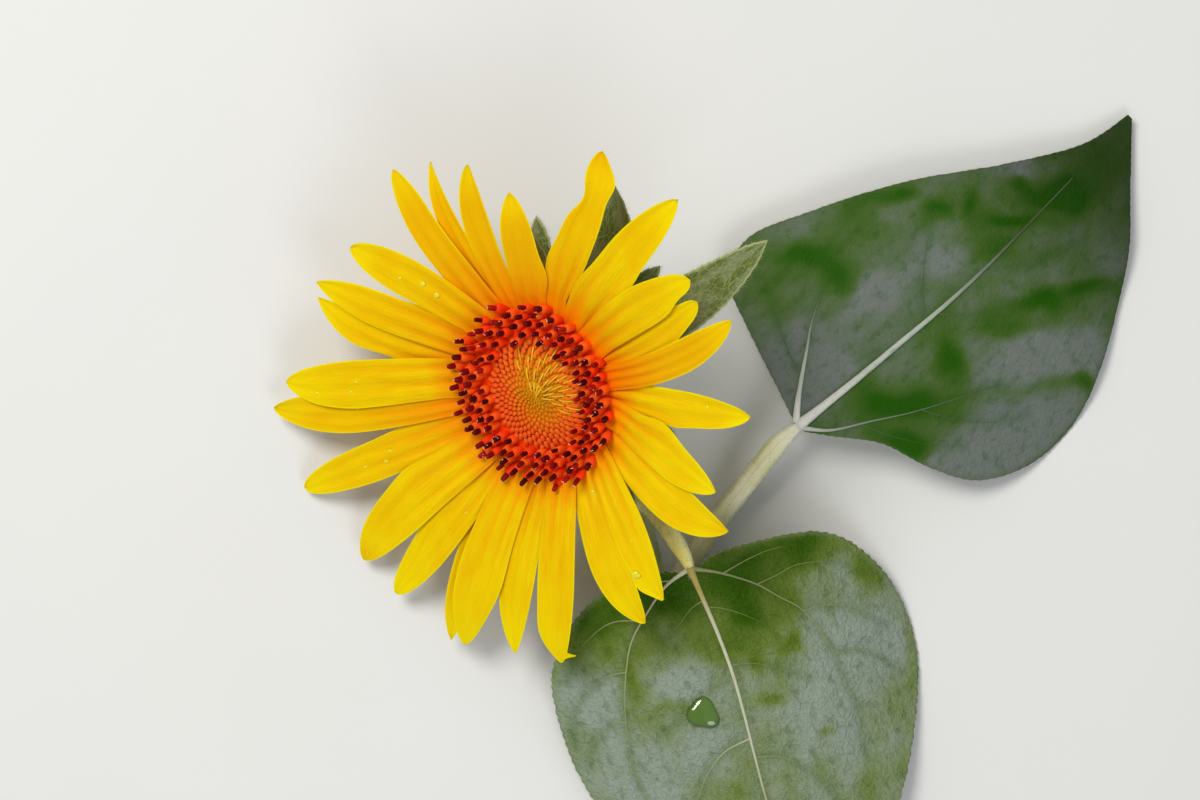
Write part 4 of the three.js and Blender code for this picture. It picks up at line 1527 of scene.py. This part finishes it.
@dataclass
class Stem:
    """The neck that carries the bloom, the stem along the floor, and the leaves' stalks.

    Attributes:
        bloom: The bloom's place, whose axis the neck leaves along.
        leaves: The near and the far leaf, which the stalks carry.
    """

    bloom: Place
    leaves: tuple["Leaf", "Leaf"]
    cup_depth: float = 14.5
    clearance: float = 0.3
    neck_top_radius: float = 4.8
    stem_radius: float = 4.2
    cut_radius: float = 4.9
    straight: float = 1.5
    bearing: float = -77.5
    run: float = 154.0
    sides: int = 48
    bristles: int = 2600
    bristle_reach: tuple = (0.8, 1.9)
    stalk_sides: int = 28
    stalk_thins: float = 0.12
    stalk_swells: float = 0.35
    stalk_bristle_reach: tuple = (0.35, 0.9)
    stalks: tuple[Stalk, ...] = (
        Stalk(
            "near",
            ((12.2, -27.0, 9.2), (15.0, -30.0, 13.2), (18.0, -34.1, 18.2), (21.0, -38.8, 22.0),
             (22.6, -42.3, 23.2)), 2.3, 1504,
            StalkFinish("near_stalk_skin", tone(255, 250, 180), tone(246, 230, 104), tone(226, 214, 206)),
        ),
        Stalk(
            "far",
            ((19.4, -47.2, 4.9), (25.6, -38.1, 6.0), (30.8, -30.6, 7.8), (43.6, -13.6, 12.0),
             (50.4, -6.8, 13.9)), 2.7, 1503,
            StalkFinish(
                "far_stalk_skin", tone(248, 244, 214), tone(230, 226, 160), tone(230, 218, 216),
                tone(226, 222, 214),
            ),
        ),
    )

    def path(self) -> tuple[Array, Array]:
        """Work out the line and the radius of the neck and stem as one limb.

        Returns:
            The line's points, and the radius at each.
        """
        start = self.bloom.drawn(np.array([0, 0, -self.cup_depth - self.clearance]))
        down = -self.bloom.turn[:, 2]
        run = polar(1, self.bearing)
        turn = math.acos(float(down @ run))
        inward = unit(run - down * (run @ down))
        bend_start = start + down * self.straight
        fall = -down[2] * math.sin(turn) - inward[2] * (1 - math.cos(turn))
        bend = (bend_start[2] - self.stem_radius) / fall
        angle = np.linspace(0, turn, 40)[:, None]
        arc = bend_start + down * bend * np.sin(angle) + inward * bend * (1 - np.cos(angle))
        along = np.linspace(0, 1, 120)[1:, None]
        straight = arc[-1] + run * (self.straight + self.clearance + self.run) * along
        sink = start - down * 1.2
        line = np.concatenate([sink[None], start[None], arc, straight])
        part = np.concatenate([np.zeros(2), np.linspace(0, 1, 40)])
        neck = np.interp(part, [0, 0.67, 1], [self.neck_top_radius, self.stem_radius, self.stem_radius])
        swell = self.stem_radius + (self.cut_radius - self.stem_radius) * along[:, 0]
        radius = np.concatenate([neck, swell])
        line[len(part):, 2] = radius[len(part):]
        return line, radius

    def build_limb(self) -> None:
        """Build the neck and stem as one skin, with its bristles and its cut face."""
        line, radius = self.path()
        angle, step = ring_angles(self.sides), np.arange(len(line))[:, None]
        ridges = 0.018 * np.cos(angle * 12) + 0.01 * np.cos(angle * 5 + 0.04 * step)
        relief = 0.972 + ridges + 0.012 * np.sin(step * 0.21 + angle)
        rings = tube(line, radius, self.sides, UP, relief)
        shape = Shape()
        shape.add_rings(rings, flat=laid_flat(angle * self.stem_radius, length_along(line)))
        finish = StalkFinish("stem_green", tone(198, 204, 156), tone(152, 168, 96), tone(140, 122, 92)).make()
        shape.build("main_stem", [finish], Place(), Slot.STEM, ("neck", "stem"), 50)
        self.build_bristles("stem_bristles", rings, line, self.bristles, self.bristle_reach, Slot.STEM)
        self.build_cut(line, radius)

    def build_cut(self, line: Array, radius: Array) -> None:
        """Build the cut face: a green skin, a ring of fibres and pale pith.

        Args:
            line: The limb's middle line.
            radius: Its radius along the line.
        """
        end, ahead = line[-1], unit(line[-1] - line[-2])
        side, other = carried_frames(line[-3:], UP)
        turn = np.stack([side[-1], other[-1], ahead], axis=-1)
        profile = [
            (0.97, -0.6), (0.97, 0.02), (0.9, 0.1), (0.8, 0.08), (0.72, 0.14), (0.5, 0.18), (0.25, 0.16),
        ]
        rings = lathe([(radius[-1] * share, height) for share, height in profile], self.sides, 24, 0.004)
        shape = Shape()
        shape.add_rings(rings @ turn.T + end, bands=(0, 0, 1, 1, 2, 2, 0, 2))
        finishes = [
            GrainFinish("cut_skin", tone(132, 150, 82), 0.8).make(),
            GrainFinish("cut_fibre", tone(186, 196, 138), 0.8).make(),
            GrainFinish("cut_pith", tone(226, 226, 200), 0.9, 0.8).make(),
        ]
        shape.build("stem_cut_face", finishes, Place(), Slot.STEM, corner=50)

    def build_bristles(
        self, name: str, rings: Array, line: Array, count: int, reach: tuple[float, float], slot: Slot
    ) -> None:
        """Build the short stiff hairs that stand out of a limb.

        Args:
            name: The piece's name.
            rings: The limb's rings.
            line: The limb's middle line.
            count: How many hairs to try. Those that would reach the floor are left out.
            reach: The shortest and longest hair.
            slot: The record's material slot.
        """
        draw = np.random.default_rng(SEED + count)
        ring = draw.uniform(0, len(line) - 1.001, count)
        spoke = draw.integers(0, rings.shape[1], count)
        low = ring.astype(int)
        part = (ring - low)[:, None]
        feet = rings[low, spoke] * (1 - part) + rings[low + 1, spoke] * part
        centre = line[low] * (1 - part) + line[low + 1] * part
        ahead = unit(line[low + 1] - line[low])
        outward = unit(feet - centre)
        lengths = draw.uniform(*reach, (count, 1))
        tips = feet + lengths * unit(outward + 0.25 * ahead + draw.normal(0, 0.22, (count, 3)))
        clear = tips[:, 2] > 0.15
        shape = Shape()
        shape.add_hairs(feet[clear] - 0.1 * outward[clear], tips[clear], 0.07)
        finish = GrainFinish(name, tone(206, 206, 170), 0.85, 0.5).make()
        shape.build(name, [finish], Place(), slot)

    def build_stalk(self, stalk: Stalk, leaf: "Leaf") -> None:
        """Build a leaf's stalk, grown into the stem at its foot and into the blade's rib at its tip.

        Args:
            stalk: The stalk.
            leaf: The leaf that it carries.
        """
        knots = np.array(stalk.knots)
        foot = knots[0] - 0.8 * (knots[1] - knots[0])
        foot[2] = max(foot[2], stalk.radius)
        rib = leaf.points(np.array([3.0, 6.5]), np.zeros(2)) - [[0, 0, 0.6], [0, 0, 1.2]]
        line = evenly(spline(np.concatenate([foot[None], knots, rib]), np.linspace(0, 1, 240)), 80)
        run = length_along(line)
        part = run / run[-1]
        girth = stalk.radius * (1 - self.stalk_thins * part)
        girth = girth * (1 + self.stalk_swells * (1 - smooth(0, 0.14, part)))
        girth = girth * (0.26 + 0.74 * smooth(0, 15.0, run[-1] - run))
        angle = ring_angles(self.stalk_sides)
        groove = 0.16 * np.exp(-((np.minimum(angle, 2 * math.pi - angle) / 0.5) ** 2))
        rings = tube(line, girth, self.stalk_sides, UP, 1 - groove + 0.03 * np.cos(angle * 8))
        shape = Shape()
        shape.add_rings(rings, flat=laid_flat(angle * stalk.radius, run), run=part)
        name, finishes = f"{stalk.label}_stalk", [stalk.finish.make()]
        shape.build(name, finishes, Place(), Slot.STALK, (f"stalk_{stalk.label}",), 60)
        hairs, reach = f"{name}_hairs", self.stalk_bristle_reach
        self.build_bristles(hairs, rings, line, stalk.bristles, reach, Slot.STALK)

    def build(self) -> None:
        """Build the stem and the stalks."""
        self.build_limb()
        for stalk, leaf in zip(self.stalks, self.leaves):
            self.build_stalk(stalk, leaf)


@dataclass(frozen=True)
class Vein:
    """A vein of a leaf.

    Attributes:
        knots: Points along it: distance along the rib, and distance to the left of the rib.
        foot: Its radius where it starts.
        tip: Its radius where it ends.
        flare: How much thicker it is at its very foot.
        spent: How far its colour has run out at its foot, from 0 to 1.
    """

    knots: tuple[tuple[float, float], ...]
    foot: float
    tip: float
    flare: float = 0.0
    spent: float = 0.0


@dataclass(frozen=True)
class Patch:
    """A place on a leaf that is clear green, or painted grey sheen where it is below 0.

    Attributes:
        along: Distance along the rib.
        left: Distance to the left of the rib.
        length: How far it reaches along.
        breadth: How far it reaches to the sides.
        strength: How green it is, or below 0 how strong the painted grey sheen is.
        turn: How far its length is turned to the left of the rib, in degrees.
    """

    along: float
    left: float
    length: float
    breadth: float
    strength: float = 1.0
    turn: float = 0.0

    def share(self, along: Array, left: Array) -> Array:
        """Work out how strongly the patch shows.

        Args:
            along: Distances of places along the rib.
            left: Their distances to its left.

        Returns:
            The strength at each place.
        """
        cos, sin = math.cos(math.radians(self.turn)), math.sin(math.radians(self.turn))
        ahead, aside = along - self.along, left - self.left
        far, wide = (ahead * cos + aside * sin) / self.length, (aside * cos - ahead * sin) / self.breadth
        return self.strength * np.exp(-(far**2) - wide**2)


@dataclass
class Leaf:
    """A leaf: a thin blade that arches over its rib and droops at its edges.

    Attributes:
        label: Which leaf it is, near or far.
        foot: Where the blade starts, in the drawing.
        bearing: The rib's bearing.
        rib: Heights of the rib over the floor at distances along it.
        droop: How far the edges hang down.
        wave: How far the blade ripples.
        left: The left edge, as distances along the rib and to its left. The right edge is like it.
        patches: Where its green and its painted grey sheen show.
    """

    label: str
    foot: tuple[float, float]
    bearing: float
    rib: tuple
    droop: float
    wave: float
    left: tuple
    right: tuple
    veins: tuple[Vein, ...]
    patches: tuple[Patch, ...]
    finish: BladeFinish
    vein_finish: VeinFinish
    vein_reach: float = 100.0
    vein_fade: float = 0.5
    half_width: float = 46.0
    droop_power: float = 2.1
    ripple_along: float = 9.0
    ripple_across: float = 7.0
    thickness: float = 0.5
    tooth: float = 0.5
    tooth_pitch: float = 2.2
    tip_dim: float = 0.0
    edge_hairs: int = 420
    face_hairs: int = 3000
    hair_reach: tuple = (0.35, 0.9)
    hair_seed: int = SEED + 304
    vein_sides: int = 10
    vein_pattern: float = 0.5
    quilt_height: float = 0.6
    dimple_height: float = 0.13
    lowest: float = 0.35
    rows: int = 210
    columns: int = 97

    def rib_height(self, along: Array) -> Array:
        """Work out the height of the rib.

        Args:
            along: Distances along it.

        Returns:
            Heights over the floor.
        """
        where, level = np.array(self.rib).T
        i = np.clip(np.searchsorted(where, along, side="left") - 1, 0, len(where) - 2)
        part = (along - where[i]) / (where[i + 1] - where[i])
        return level[i] + (level[i + 1] - level[i]) * (0.5 * smooth(0, 1, part) + 0.5 * part)

    def points(self, along: Array, left: Array) -> Array:
        """Place points on the blade's middle surface.

        Args:
            along: Distances along the rib.
            left: Distances to the left of it.

        Returns:
            The points, in the drawing's millimetres.
        """
        share = np.abs(left) / self.half_width
        ripple = self.wave * share * np.sin(along / self.ripple_along + left / self.ripple_across)
        height = self.rib_height(np.maximum(0, along)) - self.droop * share**self.droop_power + ripple
        ahead, aside = polar(1, self.bearing), polar(1, self.bearing + 90)
        flat = np.array([*self.foot, 0.0]) + along[..., None] * ahead + left[..., None] * aside
        flat[..., 2] = height
        return flat

    def vein_lines(self) -> list[tuple[Array, Array]]:
        """Lay out the veins.

        Returns:
            For each vein, its line on the flat leaf and its radius along the line.
        """
        made = []
        for vein in self.veins:
            line = evenly(spline(np.array(vein.knots), np.linspace(0, 1, 120)), 60)
            part = np.linspace(0, 1, 60)
            run = length_along(line)
            swell = vein.flare * np.exp(-run / 5)
            made.append((line, vein.foot + (vein.tip - vein.foot) * part**0.8 + swell))
        return made

    def nearest_vein(self, along: Array, left: Array) -> Array:
        """Measure how far places on the flat leaf are from the nearest vein.

        Args:
            along: Their distances along the rib.
            left: Their distances to its left.

        Returns:
            A distance for each place.
        """
        places = np.stack([along, left], axis=-1).reshape(-1, 1, 2)
        lines = np.concatenate([line for line, _ in self.vein_lines()])[None]
        nearest = [np.linalg.norm(part - lines, axis=-1).min(axis=1) for part in np.array_split(places, 40)]
        return np.concatenate(nearest).reshape(along.shape)

    def edge(self, knots: tuple, rows: Array, outward: int) -> Array:
        """Work out one toothed edge of the flat leaf.

        Args:
            knots: The edge's knots.
            rows: Shares of the edge.
            outward: 1 for the left edge and -1 for the right one.

        Returns:
            The edge's points.
        """
        line = spline(np.array(knots), rows)
        ahead = unit(np.gradient(line, axis=0))
        out = np.stack([-ahead[:, 1], ahead[:, 0]], axis=-1) * outward
        saw = (length_along(line) / self.tooth_pitch) % 1
        size = self.tooth * smooth(0, 0.06, rows) * (1 - smooth(0.94, 1, rows))
        return line + out * (size * (saw - 0.5))[:, None]

    def flat_grid(self) -> tuple[Array, Array, Array]:
        """Lay the blade's grid out flat.

        Returns:
            Distances along the rib and to its left, and how near each point is to its edge.
        """
        rows = np.linspace(0, 1, self.rows)
        spread = np.linspace(-1, 1, self.columns)
        share = np.abs(spread) ** 0.92
        start, end = self.left[0][0], self.left[-1][0]
        middle = start + (end - start) * rows
        left = self.edge(self.left, rows, 1)
        right = self.edge(self.right, rows, -1)
        edge = np.where((spread > 0)[None, :, None], left[:, None], right[:, None])
        along = middle[:, None] + (edge[..., 0] - middle[:, None]) * share[None, :]
        return along, edge[..., 1] * share[None, :], np.broadcast_to(share[None, :], along.shape)

    def build_blade(self) -> Array:
        """Build the blade.

        Returns:
            Its middle surface.
        """
        along, left, share = self.flat_grid()
        surface = self.points(along, left)
        distance = self.nearest_vein(along, left)
        quilt = self.quilt_height * (0.5 - np.exp(-((distance / 4.0) ** 2)))
        dimple = np.sin(along / 1.9 + 0.9 * np.sin(left / 2.9))
        dimple = dimple * np.sin(left / 2.1 + 0.8 * np.sin(along / 3.3))
        quilt = quilt + self.dimple_height * dimple * smooth(0.8, 4, distance)
        surface[..., 2] = np.maximum(surface[..., 2] + quilt * (1 - share**10), self.lowest)
        shift = 1.1 * np.sin(left / 2.7 + 1.3 * np.sin(along / 4.1)) + 0.5 * np.sin(along / 1.7)
        drift = 1.1 * np.sin(along / 3.2 + 1.5 * np.sin(left / 3.7)) + 0.4 * np.sin(left / 1.9)
        patch = sum(spot.share(along + shift, left + drift) for spot in self.patches)
        flat = np.stack([along, left], axis=-1)
        shape = Shape()
        vein = np.exp(-((distance / 1.3) ** 2))
        dim = self.tip_dim * smooth(60, 112, along)
        values = {"patch": patch, "vein": vein, "rim": smooth(0.955, 1.0, share), "dim": dim}
        shape.add_blade(surface, self.thickness * (1 - 0.6 * share**12), flat, **values)
        finishes = [self.finish.make()]
        shape.build(f"{self.label}_leaf", finishes, Place(), Slot.LEAF, (f"leaf_{self.label}",), 70)
        return surface

    def build_veins(self) -> None:
        """Build the veins as fine tubes that stand out of both faces of the blade."""
        shape = Shape()
        for vein, (line, radius) in zip(self.veins, self.vein_lines()):
            path = self.points(line[:, 0], line[:, 1])
            path[:, 2] = np.maximum(path[:, 2] - 0.3 + 0.18 + 0.35 * radius, 0.4 + radius)
            rings = tube(path, radius, self.vein_sides, UP)
            flat = laid_flat(ring_angles(self.vein_sides) * self.vein_pattern, length_along(path))
            spent = np.maximum(line[:, 0] / self.vein_reach, 1 - radius / self.vein_fade)
            shape.add_rings(rings, flat=flat, run=np.clip(np.maximum(spent, vein.spent), 0, 1))
        shape.build(f"{self.label}_leaf_veins", [self.vein_finish.make()], Place(), Slot.LEAF)

    def build_hairs(self, surface: Array) -> None:
        """Build the hairs along the leaf's edges and over its face.

        Args:
            surface: The blade's middle surface.
        """
        draw = np.random.default_rng(self.hair_seed)
        shape = Shape()
        shape.add_fringe(surface, self.edge_hairs, self.hair_reach, draw)
        lie = polar(1, self.bearing) * 0.8 + [0, 0, 0.45]
        shape.add_down(surface, self.face_hairs, lie, 0.3, draw, 1)
        finishes = [
            GrainFinish(f"{self.label}_leaf_fringe", tone(190, 198, 176), 0.85, 0.5).make(),
            GrainFinish(f"{self.label}_leaf_hair", self.finish.net, 0.85, 0.5).make(),
        ]
        shape.build(f"{self.label}_leaf_hairs", finishes, Place(), Slot.LEAF)

    def build(self) -> None:
        """Build the leaf's pieces."""
        surface = self.build_blade()
        self.build_veins()
        self.build_hairs(surface)


@dataclass
class NearLeaf(Leaf):
    """The leaf that lies over the stem."""

    label: str = "near"
    foot: tuple[float, float] = (22.6, -42.4)
    bearing: float = -72.2
    rib: tuple = ((0, 23.4), (22, 19.0), (58, 15.4), (92, 13.0), (112, 11.2))
    droop: float = 13.2
    wave: float = 0.8
    left: tuple = (
        (0.6, 2.4), (-1.5, 10), (2, 35), (17, 47.6), (38, 50), (60, 42), (80, 29), (98, 11), (112, 0.8),
    )
    right: tuple = (
        (0.6, -2.4), (-1.5, -10), (0, -24), (8, -36), (22, -43.5), (50, -42), (74, -29), (96, -11),
        (112, -0.8),
    )
    veins: tuple[Vein, ...] = (
        Vein(((0, 0), (9, 0.9), (20, 1.9), (34, 2.2), (62, 0.7), (86, 0.2), (110, 0)), 0.62, 0.14, 0.5),
        Vein(
            ((0.4, -0.6), (2.7, -7.2), (8.4, -14.4), (13.5, -19.5), (19.2, -22.7), (27.5, -25.9),
             (37.5, -28.3), (50, -29), (62, -27)), 0.36, 0.06, 0.35, 0.3,
        ),
        Vein(
            ((0.6, 0.8), (3.8, 7.2), (9.2, 14.8), (14.6, 19.8), (18.8, 23.8), (25.7, 26.9),
             (35.8, 29.1), (48, 30), (60, 28.5)), 0.28, 0.05, 0.4, 0.8,
        ),
        Vein(((1.8, -5.4), (0.4, -12.4), (1.2, -19.7), (3.4, -26)), 0.24, 0.06),
        Vein(((9.3, -16), (7.6, -22.1), (8.8, -27.7), (13, -34.4), (19, -39)), 0.22, 0.06),
        Vein(((20.9, -23.4), (20.8, -29), (23.6, -35.2), (28.5, -40), (35, -42)), 0.18, 0.06),
        Vein(((33.2, -27.2), (33, -31.1), (35.4, -36), (40.5, -40)), 0.18, 0.06),
        Vein(((4, 7.7), (2.4, 15.8), (2.2, 22.9), (4.5, 31)), 0.2, 0.06),
        Vein(((9.4, 15.3), (8.8, 20.4), (8, 27), (10.5, 36), (15.5, 42)), 0.16, 0.05),
        Vein(((19.8, 24.3), (20.4, 31.1), (24.5, 38), (30.5, 44)), 0.17, 0.05),
        Vein(((33, 28.6), (33.5, 33.5), (37, 39), (43, 44)), 0.14, 0.05),
        Vein(((46.6, 1.5), (47.9, -5.6), (52, -11.4), (58.4, -16.4), (67, -20)), 0.3, 0.08),
        Vein(((51.6, 1.3), (53.4, 7.3), (57.4, 12), (64, 16.4), (72, 19)), 0.16, 0.06),
        Vein(((66, 0.6), (68.5, -5), (73.5, -10), (80, -13.6)), 0.2, 0.06),
        Vein(((71, 0.5), (73.6, 5.5), (79, 10), (86, 12.6)), 0.2, 0.06),
        Vein(((30.2, 2.1), (31.4, -4), (35, -11), (38.5, -18)), 0.12, 0.05),
        Vein(((27, 2), (28.6, 8.5), (32.5, 15), (37, 20.5)), 0.12, 0.05),
        Vein(((9.1, 0.8), (10.2, -2.8), (13.2, -7), (16, -12)), 0.17, 0.05),
        Vein(((11, 1.1), (12.6, 5), (16, 9.8), (20.5, 14.6)), 0.14, 0.05),
    )
    patches: tuple[Patch, ...] = tuple(
        Patch(*row) for row in (
            (3, 31, 6, 12, 0.9), (7, 9, 10, 12, 1.0), (16, 10, 4, 3, 0.6), (18, 43, 10, 4, 0.6, -20),
            (2, -25, 7, 11, 0.8), (10, -32, 8, 8, 0.5), (3.5, -8, 7, 9, 0.95), (24, -21.5, 6, 2.2, 0.5),
            (23.5, 7.6, 5, 5, 0.6), (13, -16, 5, 3, 0.4), (33.5, -18, 2.2, 6, 0.3),
            (38, 11, 2.4, 5.5, 0.45), (27.5, 20, 2.4, 2.6, 0.7), (34, 43, 12, 4, -0.6),
            (51.4, 21, 1.8, 1.8, 0.5), (56, -10, 6, 6, 0.3), (17, 17, 8, 7, 0.3),
            (26, 35, 11, 11, -0.5), (28, -11, 3.5, 8, -0.7), (43, -6, 6, 5, -0.4),
            (26, -34, 9, 8, -0.6), (50, -20, 14, 14, -0.4), (46, 22, 14, 14, -0.5),
            (56, -34, 16, 7, -0.5),
        )
    )
    finish: BladeFinish = BladeFinish(
        "near_blade", tone(110, 128, 50), tone(149, 160, 146), tone(52, 88, 0), tone(134, 150, 104),
    )
    vein_fade: float = 0.75
    vein_finish: VeinFinish = VeinFinish(
        "near_veins", tone(206, 206, 176), tone(186, 168, 96), tone(130, 136, 76),
    )


@dataclass
class FarLeaf(Leaf):
    """The leaf that stands out to the side."""

    label: str = "far"
    foot: tuple[float, float] = (50.4, -6.8)
    bearing: float = 42.7
    rib: tuple = ((0, 14.2), (18, 15.6), (55, 13.0), (90, 7.0), (118, 2.4))
    droop: float = 10.2
    wave: float = 1.0
    left: tuple = (
        (0.5, 2.2), (2.5, 9), (8, 27.5), (13, 39.5), (24, 44), (40, 38.3), (63, 27.4), (86, 12.8),
        (104, 3.2), (118, 0.8),
    )
    right: tuple = (
        (0.5, -2.2), (5, -8), (13, -18), (18, -31), (25, -42), (38, -48.5), (54, -48.5), (72, -40.5),
        (92, -27), (105, -14), (118, -0.8),
    )
    veins: tuple[Vein, ...] = (
        Vein(((0, 0), (16.8, -1.2), (33.7, -2.1), (50, -2.9), (68, -2.8), (96, -1.4)), 1.15, 0.2, 0.5),
        Vein(((0.4, 0.9), (5.7, 5.7), (15.1, 12.8), (21.4, 17.4), (31, 22.5)), 0.85, 0.06, 0.3),
        Vein(((0.6, -1), (5.7, -6.5), (15, -11.9), (26.1, -18.3), (46, -27.6)), 0.36, 0.08, 0.4, 0.4),
        Vein(((9, 8.2), (11.5, 16), (15, 24), (19, 32)), 0.15, 0.05),
        Vein(((12, -10), (16, -18), (21.5, -26), (28, -33)), 0.15, 0.05),
        Vein(((26, -18), (31, -26), (38, -33.5), (46, -38.5)), 0.15, 0.05),
        Vein(((42, -3), (47, 3.5), (54, 10), (62, 15.5)), 0.15, 0.05),
        Vein(((46, -3.2), (52, -9), (60, -14.5), (70, -18.5)), 0.15, 0.05),
        Vein(((64, -3.3), (70, -8), (78, -12), (87, -14.6)), 0.13, 0.05),
    )
    patches: tuple[Patch, ...] = tuple(
        Patch(*row) for row in (
            (31, 31, 7, 4, 1.3, -42), (34.5, 21.5, 6, 3.4, 1.1, -42), (60, 26, 6, 2.4, 1.0, -30),
            (65, 16.4, 3, 3, 1.1), (71, 11.6, 3, 3.4, 1.1), (90, -2.2, 7, 3.6, 1.6, -42),
            (84, 6.7, 4, 2.4, 1.1, -42), (76.7, 0.6, 7, 2.4, 1.3, -42), (67.5, -19, 7, 1.7, 1.1, -42),
            (79, -25, 9, 2.0, 1.1, -34), (41.3, -13.2, 5.5, 2.6, 1.2, 48), (24, -14, 11, 4, 1.4, -42),
            (17.5, -23, 8, 4.0, 1.4, -60), (62.4, -41.4, 5, 2, 1.2, -42), (14, 26, 9, 11, 0.2),
            (50, 30, 12, 7, 0.4), (56, -16, 12, 4, 0.5, -42), (67, 0, 7, 4, 0.9, -42),
            (35, 11.5, 8, 4, -1.0, -10), (55, 6.5, 12, 4, -0.6, -25), (14, 4, 8, 4, -1.1),
            (10, 13, 9, 8, -1.0), (87.5, 9, 5, 3, -0.8, -42), (60, -31, 16, 5, -0.9, -34),
            (103, -4, 14, 9, 0.5), (36, -39, 15, 6.5, -1.5, -15), (20, -33, 4, 3, -0.9),
        )
    )
    finish: BladeFinish = BladeFinish(
        "far_blade", tone(72, 98, 40), tone(112, 119, 112), tone(34, 82, 0), tone(80, 100, 58), 0.1,
    )
    vein_finish: VeinFinish = VeinFinish(
        "far_veins", tone(188, 194, 180), tone(222, 220, 210), tone(70, 88, 52),
    )
    vein_reach: float = 84.0
    vein_fade: float = 0.9
    tooth: float = 0.2
    tip_dim: float = 0.62
    face_hairs: int = 1200
    hair_seed: int = SEED + 303


@dataclass
class Dew:
    """The large drop of water on a leaf, turned by some degrees from the leaf's rib."""

    leaf: Leaf
    along: float = 36.7
    left: float = -7.9
    half_length: float = 4.2
    half_breadth: float = 3.8
    height: float = 1.15
    lift: float = 0.35
    turn: float = 35.0
    lobes: float = 0.12

    def build(self) -> None:
        """Build the drop."""
        centre = self.leaf.points(np.array([self.along]), np.array([self.left]))[0] + UP * self.lift
        turn = math.radians(self.leaf.bearing + self.turn)
        size = (self.half_length, self.half_breadth, self.height)
        shape = Shape()
        shape.add_drop(size, np.append(centre, turn), 48, self.lobes)
        water = DropFinish("leaf_water", tone(34, 62, 0), tone(88, 128, 4), 0.72)
        shape.build("leaf_drop", [water.make()], Place(), None)


@dataclass
class Studio:
    """The pale floor, the soft lights and the camera straight above."""

    camera_height: float = 934.0
    focal_length: float = 108.0
    sensor_width: float = 36.0
    floor_metres: float = 4.0

    def build_floor(self) -> None:
        """Build the floor."""
        bpy.ops.mesh.primitive_plane_add(size=self.floor_metres, location=(0, 0, 0))
        floor = bpy.context.object
        floor.name = "floor"
        floor.data.materials.append(FloorFinish().make())

    def build_light(self, name: str, spot: tuple, size: float, power: float, colour: tuple) -> None:
        """Add a soft light that shines on the middle of the plant.

        Args:
            name: The light's name.
            spot: Where it hangs, in metres.
            size: Its width in metres.
            power: Its power in watts.
            colour: Its colour.
        """
        lamp = bpy.data.lights.new(name, "AREA")
        lamp.shape = "DISK"
        lamp.size = size
        lamp.energy = power
        lamp.color = colour
        made = bpy.data.objects.new(name, lamp)
        bpy.context.scene.collection.objects.link(made)
        made.location = spot
        made.rotation_mode = "QUATERNION"
        made.rotation_quaternion = made.location.to_track_quat("Z", "Y")

    def build_camera(self) -> None:
        """Add the camera, looking straight down."""
        lens = bpy.data.cameras.new("camera")
        lens.lens = self.focal_length
        lens.sensor_width = self.sensor_width
        camera = bpy.data.objects.new("camera", lens)
        bpy.context.scene.collection.objects.link(camera)
        camera.location = (UP * self.camera_height - MIDDLE) * METRE
        bpy.context.scene.camera = camera

    def build(self) -> None:
        """Build the stage."""
        self.build_floor()
        self.build_light("key", (-0.45, 0.5, 1.0), 0.55, 8.4, (1.0, 0.98, 0.94))
        self.build_light("fill", (0.3, -0.75, 0.95), 0.6, 3.0, (0.94, 0.97, 1.0))
        world = bpy.data.worlds.new("studio")
        world.use_nodes = True
        sky = world.node_tree.nodes["Background"]
        sky.inputs["Color"].default_value = (0.92, 0.96, 1.0, 1.0)
        sky.inputs["Strength"].default_value = 0.42
        bpy.context.scene.world = world
        bpy.context.scene.view_settings.view_transform = "Standard"
        self.build_camera()


@dataclass
class Sunflower:
    """The whole plant."""

    disc_centre: tuple[float, float, float] = (-14.8, 2.2, 34.0)
    lean: float = 30.0
    lean_towards: float = 211.0

    def bloom_place(self) -> Place:
        """Work out how the bloom leans, and where its disc is.

        Returns:
            The bloom's place.
        """
        axis = polar(1, self.lean_towards + 90)
        angle = math.radians(self.lean)
        cross = np.array([[0, -axis[2], axis[1]], [axis[2], 0, -axis[0]], [-axis[1], axis[0], 0]])
        turn = np.eye(3) + math.sin(angle) * cross + (1 - math.cos(angle)) * cross @ cross
        return Place(turn, np.array(self.disc_centre))

    def build(self) -> None:
        """Build the bloom, the stem and the leaves."""
        bloom = self.bloom_place()
        Petals(bloom).build()
        Disc(bloom).build()
        Calyx(bloom, self.lean, self.lean_towards).build()
        near, far = NearLeaf(), FarLeaf()
        Stem(bloom, (near, far)).build()
        near.build()
        far.build()
        Dew(near).build()


def main() -> None:
    """Build the plant and the studio round it."""
    logging.basicConfig(level=logging.INFO, format="%(message)s")
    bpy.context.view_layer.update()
    Sunflower().build()
    Studio().build()


if __name__ == "__main__":
    main()
